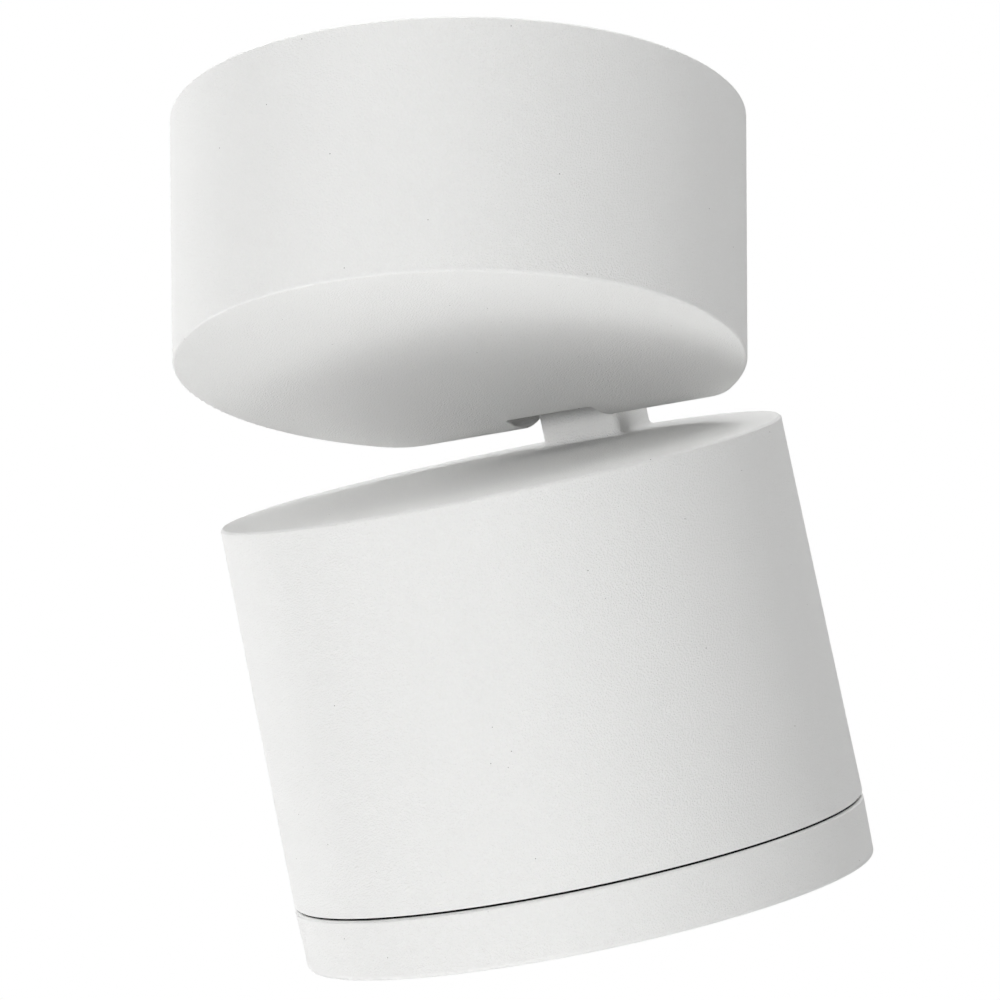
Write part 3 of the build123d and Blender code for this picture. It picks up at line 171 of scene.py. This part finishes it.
# ---------------------------------------------------------------- white housings
# Canopy, neck, head and front ring are aluminium, cast or turned, with a white polyester powder
# coat baked on. It is matt, with a fine dense texture and here and there a speck.

def surface(name, base, roughness, metallic=0.0, **more):
    """New material with its shader; returns both and the object's coordinates in metres."""
    made = bpy.data.materials.new(name)
    made.use_nodes = True
    tree = made.node_tree
    tree.nodes.clear()
    shade = node(tree, "BsdfPrincipled", {"Roughness": roughness, "Metallic": metallic, **more})
    shade.inputs["Base Color"].default_value = srgb(base)
    made.diffuse_color = srgb(base)
    node(tree, "OutputMaterial", {"Surface": shade.outputs[0]})
    place = node(tree, "TexCoord", {}).outputs["Object"]
    return made, tree, shade, place


def noise(tree, place, size, detail=2.0):
    """Soft random pattern with grains of a size in millimetres."""
    made = node(tree, "TexNoise", {"Vector": place, "Scale": 1000 / size, "Detail": detail})
    return made.outputs["Fac"]


def spread(tree, value, low, high, start=0.3, end=0.7):
    """A pattern's value between start and end, spread from low to high."""
    made = node(tree, "MapRange", {"Value": value, "From Min": start, "From Max": end,
                                   "To Min": low, "To Max": high})
    return made.outputs[0]


def mix(tree, share, first, second):
    """Colour between two; a colour mix takes its share in socket 0 and its colours in 6 and 7."""
    made = node(tree, "Mix", {0: share, 6: first, 7: second}, data_type="RGBA")
    return made.outputs[2]


def bump(tree, shade, height, depth):
    """Relief of a depth in millimetres."""
    made = node(tree, "Bump", {"Height": height, "Distance": depth / 1000})
    tree.links.new(made.outputs[0], shade.inputs["Normal"])


def dress(material, *names):
    """Gives CAD nodes a material."""
    for name in names:
        piece = nodes[name]
        piece.data.materials.clear()
        piece.data.materials.append(material)


powder_grain = 0.29         # mm across a grain of the texture
powder_depth = 0.17         # mm
speck_spacing = 4.0         # mm
speck_size = 0.12           # mm
speck_core = 0.6            # share of a speck that is fully dark
powder, tree, shade, place = surface("structured_powder_coat", "#ECECEB", 0.85,
                                     **{"Specular IOR Level": 0.15})
grain = noise(tree, place, powder_grain, 1.0)
bump(tree, shade, grain, powder_depth)
white = mix(tree, spread(tree, grain, 0, 1), srgb("#EBEBEA"), srgb("#EDEDEC"))
specks = node(tree, "TexVoronoi", {"Vector": place, "Scale": 1000 / speck_spacing})
speck_edge = speck_size / speck_spacing
speck = spread(tree, specks.outputs["Distance"], 1, 0, speck_edge * speck_core, speck_edge)
flecked = mix(tree, speck, white, srgb("#8E8C88"))
tree.links.new(flecked, shade.inputs["Base Color"])
dress(powder, "canopy_housing", "hinge_arm", "head_body", "front_ring")


# ---------------------------------------------------------------- neck's foot
# The neck is cast with a small root radius where it stands on the head, and the powder coat
# fills it further. Pieces of the head are drawn hanging straight down from the origin, and then
# moved and turned onto the light's axis.

twist = next(j for j in frame["joints"] if j["name"] == "ring_twist")
axis_start = Vector(twist["pos_m"])
light = Vector(twist["axis"])
lean = Vector((0, 0, -1)).rotation_difference(light)


def upright_spots(name):
    """Corners of a CAD node of the head, as they are when it hangs straight from the origin."""
    back = lean.inverted()
    return [back @ (v.co - axis_start) for v in nodes[name].data.vertices]


def hang(name, drop, material):
    """Names the active piece, moves it down the light's axis by a drop, and fixes it to the head."""
    piece = bpy.context.object
    piece.name = name
    piece.rotation_euler = lean.to_euler()
    piece.location = axis_start + light * drop
    bpy.ops.object.transform_apply(location=True, rotation=True, scale=True)
    piece.data.materials.append(material)
    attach(piece, "head")
    return piece


root_radius = 0.0011
root_steps = 6
root_sunk = 0.0002          # into the head's top
foot_corner = 0.0011        # rounded corner of the neck's outline
foot_slice = 0.0001         # what lies this near the neck's lower end is its foot
corner_steps = 8
foot_level = min(s.z for s in upright_spots("hinge_arm"))
foot = [s for s in upright_spots("hinge_arm") if s.z < foot_level + foot_slice]
foot_x = max(s.x for s in foot)
foot_front = min(s.y for s in foot)
foot_back = max(s.y for s in foot)

bpy.ops.mesh.primitive_plane_add(size=1, location=(0, 0, 0))
bpy.ops.object.mode_set(mode="EDIT")
bpy.ops.mesh.select_all(action="SELECT")
bpy.ops.transform.resize(value=(2 * (foot_x + root_radius),
                                foot_back - foot_front + 2 * root_radius, 1))
bpy.ops.transform.translate(value=(0, (foot_front + foot_back) / 2, -root_sunk))
bpy.ops.mesh.bevel(offset=foot_corner + root_radius, segments=corner_steps,
                   affect="VERTICES")
bpy.ops.mesh.extrude_region_move(TRANSFORM_OT_translate={"value": (0, 0, root_sunk)})
for step in range(root_steps):
    start, end = (math.radians(90 * k / root_steps) for k in (step, step + 1))
    bpy.ops.mesh.inset(thickness=root_radius * (math.sin(end) - math.sin(start)),
                       depth=root_radius * (math.cos(start) - math.cos(end)))
bpy.ops.mesh.select_all(action="SELECT")
bpy.ops.mesh.normals_make_consistent(inside=False)
bpy.ops.object.mode_set(mode="OBJECT")
bpy.ops.object.shade_smooth_by_angle(angle=math.radians(60))
hang("neck_root", -foot_level, powder)


# ---------------------------------------------------------------- ceiling plate and turntable
# Both are pressed from galvanised sheet steel. The plate is screwed to the ceiling, and the
# turntable turns on the stem below it. The zinc shows faint flat crystals.

crystal_size = 3.0          # mm
sheet, tree, shade, place = surface("galvanised_sheet_steel", "#AFB2B4", 0.42, 1.0)
crystals = node(tree, "TexVoronoi", {"Vector": place, "Scale": 1000 / crystal_size})
facet = node(tree, "SeparateColor", {"Color": crystals.outputs["Color"]}).outputs[0]
tree.links.new(mix(tree, facet, srgb("#A7AAAC"), srgb("#B2B5B7")), shade.inputs["Base Color"])
tree.links.new(spread(tree, facet, 0.40, 0.47, 0, 1), shade.inputs["Roughness"])
bump(tree, shade, noise(tree, place, 0.6), 0.006)


def soften(width, *names):
    """Rounds a CAD node's sharp edges a little, by a width in millimetres."""
    for name in names:
        bevel = nodes[name].modifiers.new("soft_edges", "BEVEL")
        bevel.width = width / 1000
        bevel.segments = 2
        bevel.limit_method = "ANGLE"
        bevel.angle_limit = math.radians(40)
        bevel.harden_normals = True


soften(0.2, "turntable")
dress(sheet, "ceiling_plate", "turntable")


# ---------------------------------------------------------------- stem, hinge bolt and nuts
# The hollow stem and the hinge's hollow bolt are turned from steel and thinly nickel-plated, and
# so are their nuts. Fine tool marks run round the stem.

mark_scale = 1050.0         # wave bands repeat every 0.314 over it: a mark each 0.3 mm
turned, tree, shade, place = surface("turned_nickel_plated_steel", "#B5B1A8", 0.3, 1.0)
marks = node(tree, "TexWave", {"Vector": place, "Scale": mark_scale, "Distortion": 1.5,
                               "Detail": 2.0}, bands_direction="Z").outputs["Fac"]
tree.links.new(spread(tree, marks, 0.24, 0.4, 0, 1), shade.inputs["Roughness"])
tree.links.new(mix(tree, noise(tree, place, 3.0), srgb("#AAA69D"), srgb("#C2BFB7")),
               shade.inputs["Base Color"])
bump(tree, shade, marks, 0.004)
soften(0.2, "pan_nut", "pivot_nut")
dress(turned, "pan_stem", "pan_nut", "pivot_bolt", "pivot_nut")


# ---------------------------------------------------------------- small steel parts
# Screws and stop pins are steel, electroplated with zinc, which leaves them bluish and slightly
# cloudy.

zinc, tree, shade, place = surface("zinc_plated_steel", "#B6BBC0", 0.34, 1.0)
clouds = noise(tree, place, 1.6, 3.0)
tree.links.new(mix(tree, clouds, srgb("#A3A9B0"), srgb("#C6CACE")), shade.inputs["Base Color"])
tree.links.new(spread(tree, clouds, 0.26, 0.44), shade.inputs["Roughness"])
dress(zinc, "fixed_stop_pin", "turning_stop_pin", "bracket_screws", "arm_screws",
      "heat_sink_screws", "driver_screws", "terminal_fixing_screws", "clamp_screws",
      "holder_screws")


# ---------------------------------------------------------------- springs and snap ring
# The pan's and the hinge's spring washers and the glass's snap ring are blanked or wound from
# bright spring steel. Tempering leaves a straw tint on them.

spring, tree, shade, place = surface("tempered_spring_steel", "#A39E93", 0.28, 1.0)
tint = noise(tree, place, 4.0)
tree.links.new(mix(tree, tint, srgb("#8F8B84"), srgb("#B3AB97")), shade.inputs["Base Color"])
bump(tree, shade, noise(tree, place, 0.25), 0.003)
dress(spring, "pan_spring", "disc_springs", "snap_ring")


# ---------------------------------------------------------------- grub screws
# Two set screws hold the canopy's wall to the turntable's tabs. They are steel with a black oxide
# skin, slightly oily.

oxide, tree, shade, place = surface("black_oxide_steel", "#1B1C1E", 0.38, 0.9)
oil = noise(tree, place, 1.0)
tree.links.new(mix(tree, oil, srgb("#141517"), srgb("#26272A")), shade.inputs["Base Color"])
tree.links.new(spread(tree, oil, 0.3, 0.46), shade.inputs["Roughness"])
dress(oxide, "grub_screws")


# ---------------------------------------------------------------- heat sink
# Die-cast in aluminium, shot-blasted and left bare: grey, with a fine dull grain. Screws hold it
# inside the head, and it carries the LED.

cast, tree, shade, place = surface("blasted_cast_aluminium", "#A9ABAC", 0.52, 1.0)
skin = noise(tree, place, 0.5, 4.0)
tree.links.new(mix(tree, noise(tree, place, 8.0), srgb("#9C9EA0"), srgb("#B3B5B6")),
               shade.inputs["Base Color"])
tree.links.new(spread(tree, skin, 0.44, 0.62), shade.inputs["Roughness"])
bump(tree, shade, skin, 0.03)
dress(cast, "heat_sink")


# ---------------------------------------------------------------- hinge bracket
# Cast in aluminium too and screwed to the canopy's floor. Its black colour is painted shade: it
# stands for the shade in the slot beside the neck, where the bracket shows through.

painted_shade_black, tree, shade, place = surface("casting_in_painted_shade_black", "#1C1C1D", 0.6)
skin = noise(tree, place, 0.5, 4.0)
# These near-black tones are painted shade, varied by a faint random grain.
tree.links.new(mix(tree, skin, srgb("#171718"), srgb("#242425")), shade.inputs["Base Color"])
tree.links.new(spread(tree, skin, 0.5, 0.7), shade.inputs["Roughness"])
bump(tree, shade, skin, 0.02)
soften(0.3, "hinge_bracket")
dress(painted_shade_black, "hinge_bracket")


# ---------------------------------------------------------------- washers, LED holder and clamp
# Thrust and friction washers, the LED's holder and the cord's clamp are moulded in natural white
# nylon: slightly creamy and translucent, with a satin skin.

nylon, tree, shade, place = surface("moulded_white_nylon", "#E6E3D8", 0.45,
                                    **{"Subsurface Weight": 0.1, "Subsurface Scale": 0.001})
flow = noise(tree, place, 6.0)
tree.links.new(mix(tree, flow, srgb("#E0DCCF"), srgb("#EBE9E0")), shade.inputs["Base Color"])
bump(tree, shade, noise(tree, place, 0.3), 0.006)
soften(0.2, "cord_clamp")
dress(nylon, "thrust_washers", "friction_washers", "led_holder", "cord_clamp")


# ---------------------------------------------------------------- driver's case
# A moulded tub with a snapped-on lid, in pale grey polycarbonate. The mould was spark-eroded, and
# its fine grain shows on the plastic.

grey, tree, shade, place = surface("grey_polycarbonate", "#C5C8CA", 0.5)
eroded = noise(tree, place, 0.45, 3.0)
tree.links.new(mix(tree, eroded, srgb("#BEC1C3"), srgb("#CDD0D1")), shade.inputs["Base Color"])
tree.links.new(spread(tree, eroded, 0.42, 0.6), shade.inputs["Roughness"])
bump(tree, shade, eroded, 0.02)
soften(0.3, "driver_case", "driver_cover")
dress(grey, "driver_case", "driver_cover")


# ---------------------------------------------------------------- driver's board
# Glass-fibre board under green solder resist, which carries the driver's parts. Its copper tracks
# show through as paler bands.

track_pitch = 0.0021
track_gap = 0.0004
track_length = 0.026
green, tree, shade, place = surface("green_solder_resist", "#1E6B3C", 0.3)
tracks = node(tree, "TexBrick", {"Vector": place, "Scale": 1.0, "Color1": srgb("#2B8A4F"),
                                 "Color2": srgb("#247A45"), "Mortar": srgb("#17552F"),
                                 "Mortar Size": track_gap, "Brick Width": track_length,
                                 "Row Height": track_pitch})
tree.links.new(tracks.outputs["Color"], shade.inputs["Base Color"])
bump(tree, shade, tracks.outputs["Fac"], 0.03)
dress(green, "driver_board")


# ---------------------------------------------------------------- transformer
# A dark ferrite core, pressed and sintered, round a winding wrapped in yellow polyester tape.
# The tape shows where the winding stands out of the core.

low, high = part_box("driver_transformer")
core_middle = (low[1] + high[1]) / 2
core_half = 0.0071          # from the middle to the core's faces
wound, tree, shade, place = surface("ferrite_and_tape", "#2C2C2F", 0.6)
across = node(tree, "SeparateXYZ", {"Vector": place}).outputs["Y"]
off = node(tree, "Math", {0: across, 1: core_middle}, operation="SUBTRACT").outputs[0]
off = node(tree, "Math", {0: off}, operation="ABSOLUTE").outputs[0]
taped = node(tree, "Math", {0: off, 1: core_half}, operation="GREATER_THAN").outputs[0]
ferrite = mix(tree, noise(tree, place, 0.5), srgb("#262628"), srgb("#3A3A3D"))
tape = mix(tree, noise(tree, place, 2.0), srgb("#D2A724"), srgb("#E0BC45"))
tree.links.new(mix(tree, taped, ferrite, tape), shade.inputs["Base Color"])
tree.links.new(spread(tree, taped, 0.65, 0.3, 0, 1), shade.inputs["Roughness"])
bump(tree, shade, noise(tree, place, 0.4), 0.01)
dress(wound, "driver_transformer")


# ---------------------------------------------------------------- capacitors
# Two aluminium cans stand on the driver's board, each in a shrunk black sleeve that leaves its
# top bare.

can_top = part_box("driver_capacitors")[1][2]
bare_depth = 0.0002         # of the can, above the sleeve's end
sleeved, tree, shade, place = surface("shrunk_sleeve_and_can", "#17181C", 0.25)
height = node(tree, "SeparateXYZ", {"Vector": place}).outputs["Z"]
bare = node(tree, "Math", {0: height, 1: can_top - bare_depth},
            operation="GREATER_THAN").outputs[0]
sleeve = mix(tree, noise(tree, place, 3.0), srgb("#131418"), srgb("#202229"))
tree.links.new(mix(tree, bare, sleeve, srgb("#B9BBBD")), shade.inputs["Base Color"])
tree.links.new(bare, shade.inputs["Metallic"])
bump(tree, shade, noise(tree, place, 2.0), 0.01)
dress(sleeved, "driver_capacitors")


# ---------------------------------------------------------------- terminal block
# Moulded in white nylon, whose glass fibres leave it slightly mottled. Its clamping screws and the
# earth screw are brass, thinly nickel-plated and worn through here and there.

block, tree, shade, place = surface("glass_filled_nylon", "#DAD8D0", 0.5)
fibres = noise(tree, place, 0.8, 4.0)
tree.links.new(mix(tree, fibres, srgb("#D2D0C7"), srgb("#E2E0D9")), shade.inputs["Base Color"])
bump(tree, shade, fibres, 0.01)
dress(block, "terminal_block")

plated, tree, shade, place = surface("nickel_plated_brass", "#C9BE9E", 0.28, 1.0)
wear = noise(tree, place, 0.8, 3.0)
tree.links.new(mix(tree, spread(tree, wear, 0, 1, 0.55, 0.75), srgb("#C8C2B2"),
                   srgb("#C3A765")), shade.inputs["Base Color"])
tree.links.new(spread(tree, wear, 0.22, 0.4), shade.inputs["Roughness"])
dress(plated, "terminal_screws", "earth_screw")


# ---------------------------------------------------------------- wires
# Stranded copper in smooth sleeves: brown and blue to the driver, green and yellow to the earth
# screw, and white silicone for the lead to the light.

low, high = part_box("jumper_wires")
between = (low[0] + high[0]) / 2
# Smooth PVC: brown on the live side and blue on the neutral one.
mains, tree, shade, place = surface("brown_and_blue_sleeves", "#5A3420", 0.38)
side = node(tree, "SeparateXYZ", {"Vector": place}).outputs["X"]
neutral = node(tree, "Math", {0: side, 1: between}, operation="GREATER_THAN").outputs[0]
gloss = noise(tree, place, 2.0)
brown = mix(tree, gloss, srgb("#54301D"), srgb("#633B25"))
blue = mix(tree, gloss, srgb("#1F4E9A"), srgb("#2B5CAB"))
tree.links.new(mix(tree, neutral, brown, blue), shade.inputs["Base Color"])
tree.links.new(spread(tree, gloss, 0.32, 0.46), shade.inputs["Roughness"])
dress(mains, "jumper_wires")

# PVC in two colours.
stripe_scale = 125.0        # wave bands repeat every 0.314 over it: a stripe each 2.5 mm
earth, tree, shade, place = surface("green_and_yellow_sleeve", "#3E8E41", 0.38)
stripes = node(tree, "TexWave", {"Vector": place, "Scale": stripe_scale},
               bands_direction="DIAGONAL")
stripe = spread(tree, stripes.outputs["Fac"], 0, 1, 0.55, 0.6)
tree.links.new(mix(tree, stripe, srgb("#2F8A3C"), srgb("#E3CB2B")), shade.inputs["Base Color"])
dress(earth, "earth_wire")

# Silicone is softer and duller, and takes on a little dust.
lead, tree, shade, place = surface("white_silicone_sleeve", "#DEDDD8", 0.5)
dust = noise(tree, place, 1.5)
tree.links.new(mix(tree, dust, srgb("#D6D5CF"), srgb("#E4E3DF")), shade.inputs["Base Color"])
tree.links.new(spread(tree, dust, 0.42, 0.58), shade.inputs["Roughness"])
dress(lead, "canopy_lead", "head_lead")


# ---------------------------------------------------------------- rubber parts
# The ceiling plate's grommet, the seal in the head's seam and the glass's gasket are moulded in
# black EPDM rubber: matt, with a trace of dust.

rubber, tree, shade, place = surface("black_rubber", "#0C0C0D", 0.85,
                                     **{"Specular IOR Level": 0.2})
bloom = noise(tree, place, 1.2, 3.0)
tree.links.new(mix(tree, bloom, srgb("#080809"), srgb("#111112")), shade.inputs["Base Color"])
bump(tree, shade, noise(tree, place, 0.3), 0.01)
dress(rubber, "cable_grommet", "front_seal", "glass_gasket")


# ---------------------------------------------------------------- thermal pad and LED board
# A soft grey-blue silicone pad takes the heat into the heat sink. On it lies the LED's white
# ceramic board, fired and ground flat.

pad, tree, shade, place = surface("thermal_silicone", "#76858F", 0.75)
filler = noise(tree, place, 0.4, 3.0)
tree.links.new(mix(tree, filler, srgb("#6C7B85"), srgb("#808F98")), shade.inputs["Base Color"])
bump(tree, shade, filler, 0.02)
dress(pad, "thermal_pad")

ceramic, tree, shade, place = surface("white_alumina", "#E4E3DD", 0.42)
ground = noise(tree, place, 0.35, 3.0)
tree.links.new(mix(tree, ground, srgb("#DEDDD6"), srgb("#EAE9E4")), shade.inputs["Base Color"])
bump(tree, shade, ground, 0.004)
dress(ceramic, "led_board")


# ---------------------------------------------------------------- the LED's light-emitting face
# Yellow phosphor in silicone, poured into a white silicone dam on the board and domed by its own
# surface tension.

def reach(name):
    """Least and most distance of a CAD node along the light's axis, then from that axis."""
    spots = upright_spots(name)
    off = [math.hypot(spot.x, spot.y) for spot in spots]
    return -max(s.z for s in spots), -min(s.z for s in spots), min(off), max(off)


def extrude(down=0.0, scale=1.0):
    """Extrudes what is selected in edit mode, then moves it down and scales it about the axis."""
    bpy.ops.mesh.extrude_region_move()
    bpy.ops.transform.translate(value=(0, 0, -down))
    bpy.ops.transform.resize(value=(scale, scale, 1))


board_face, emitter_face, _, emitter_r = reach("led_emitter")
dam_width = 0.0011
dam_height = 0.0009
phosphor_r = emitter_r - dam_width / 2
dome_rise = emitter_face - board_face
dome_wall = 0.6             # share of the rise that is upright
dome_steps = ((0.2, 0.9), (0.12, 0.75), (0.06, 0.5), (0.02, 0.3))   # share of the rise, scale
chip_pitch = 0.0015
chip_gap = 0.0003

phosphor, tree, shade, place = surface("yellow_phosphor", "#E2C23A", 0.32,
                                       **{"Subsurface Weight": 0.2, "Subsurface Scale": 0.0005})
# Under its satin face the chips show faintly as a grid of darker squares.
upright = node(tree, "Mapping", {"Vector": place,
                                 "Rotation": lean.inverted().to_euler()})
chips = node(tree, "TexBrick", {"Vector": upright.outputs[0], "Scale": 1.0,
                                "Color1": srgb("#D8B42E"), "Color2": srgb("#D3AE2A"),
                                "Mortar": srgb("#E9CB4A"), "Mortar Size": chip_gap,
                                "Brick Width": chip_pitch, "Row Height": chip_pitch}, offset=0.0)
tree.links.new(chips.outputs["Color"], shade.inputs["Base Color"])
bump(tree, shade, noise(tree, place, 0.3), 0.006)

bpy.ops.mesh.primitive_circle_add(vertices=64, radius=phosphor_r, fill_type="NGON")
bpy.ops.object.mode_set(mode="EDIT")
bpy.ops.mesh.select_all(action="SELECT")
extrude(down=dome_rise * dome_wall)
for down, scale in dome_steps:
    extrude(dome_rise * down, scale)
bpy.ops.mesh.poke()
bpy.ops.mesh.select_all(action="SELECT")
bpy.ops.mesh.normals_make_consistent(inside=False)
bpy.ops.object.mode_set(mode="OBJECT")
bpy.ops.object.shade_smooth_by_angle(angle=math.radians(40))
face = hang("led_phosphor_face", board_face, phosphor)
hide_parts("led_emitter")

# The dam is opaque white silicone with a soft gloss, a little uneven from the nozzle.
silicone, tree, shade, place = surface("white_dam_silicone", "#E9E9E6", 0.35)
tree.links.new(mix(tree, noise(tree, place, 1.0), srgb("#E3E3DF"), srgb("#EFEFED")),
               shade.inputs["Base Color"])
bump(tree, shade, noise(tree, place, 0.8), 0.01)
bpy.ops.mesh.primitive_torus_add(major_radius=emitter_r, minor_radius=dam_width / 2,
                                 major_segments=72, minor_segments=16)
bpy.ops.object.mode_set(mode="EDIT")
bpy.ops.mesh.select_all(action="SELECT")
bpy.ops.mesh.bisect(plane_co=(0, 0, 0), plane_no=(0, 0, 1), clear_outer=True)
bpy.ops.mesh.bridge_edge_loops()
bpy.ops.mesh.select_all(action="SELECT")
bpy.ops.transform.resize(value=(1, 1, 2 * dam_height / dam_width), center_override=(0, 0, 0))
bpy.ops.object.mode_set(mode="OBJECT")
bpy.ops.object.shade_smooth_by_angle(angle=math.radians(50))
hang("led_dam_ring", board_face, silicone)


# ---------------------------------------------------------------- reflector
# Spun from pure aluminium sheet over a faceted chuck, then metallised: a mirror with a slight haze.
# A flat flange at its neck lies on the LED holder, and each row of facets is a straight cone.

reflector_facets = 40
reflector_rows = 9
row_growth = 1.7            # over 1, the rows are shorter near the neck
reflector_sheet = 0.0009
flange_seat = 0.0003        # keeps the flange just clear of the LED holder's face
flange_r = 0.012
holder_face, mouth, neck_r, rim_r = reach("reflector")
rim_r -= reflector_sheet

mirror, tree, shade, place = surface("metallised_aluminium", "#E3E5E7", 0.09, 1.0)
haze = noise(tree, place, 4.0, 3.0)
tree.links.new(mix(tree, haze, srgb("#DDDFE2"), srgb("#E9EBEC")), shade.inputs["Base Color"])
tree.links.new(spread(tree, haze, 0.06, 0.14), shade.inputs["Roughness"])
bump(tree, shade, noise(tree, place, 2.5), 0.004)

bpy.ops.mesh.primitive_circle_add(vertices=reflector_facets, radius=flange_r)
bpy.ops.object.mode_set(mode="EDIT")
bpy.ops.mesh.select_all(action="SELECT")
extrude(scale=neck_r / flange_r)
drop, radius = 0.0, neck_r
for row in range(1, reflector_rows + 1):
    share = (row / reflector_rows) ** row_growth
    new_radius = math.sqrt(neck_r ** 2 + (rim_r ** 2 - neck_r ** 2) * share)
    new_drop = (mouth - holder_face - flange_seat) * share
    extrude(new_drop - drop, new_radius / radius)
    drop, radius = new_drop, new_radius
bpy.ops.mesh.select_all(action="SELECT")
bpy.ops.mesh.normals_make_consistent(inside=True)
bpy.ops.object.mode_set(mode="OBJECT")
bpy.ops.object.modifier_add(type="SOLIDIFY")
solidify = bpy.context.object.modifiers["Solidify"]
solidify.thickness = reflector_sheet
solidify.offset = -1.0
bpy.ops.object.modifier_apply(modifier="Solidify")
bowl = hang("faceted_reflector", holder_face + flange_seat, mirror)
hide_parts("reflector")


# ---------------------------------------------------------------- front glass
# A disc of clear tempered glass, 3 mm thick, held in the ring by the snap ring. It is washed and
# nearly clean, so a faint film shows only in its gloss.

glass, tree, shade, place = surface("tempered_glass", "#F6FAF8", 0.0, IOR=1.52,
                                    **{"Transmission Weight": 1.0})
film = noise(tree, place, 9.0, 3.0)
tree.links.new(spread(tree, film, 0.0, 0.03), shade.inputs["Roughness"])
dress(glass, "front_glass")


# ---------------------------------------------------------------- anti-glare baffle
# A stepped cone moulded in matt black polycarbonate and pushed into the ring below the glass. Its
# steps catch the light that would dazzle.

black, tree, shade, place = surface("matt_black_polycarbonate", "#131314", 0.8,
                                    **{"Specular IOR Level": 0.3})
texture = noise(tree, place, 0.4, 3.0)
tree.links.new(mix(tree, texture, srgb("#0F0F10"), srgb("#1B1B1C")), shade.inputs["Base Color"])
bump(tree, shade, texture, 0.02)
dress(black, "anti_glare_baffle")
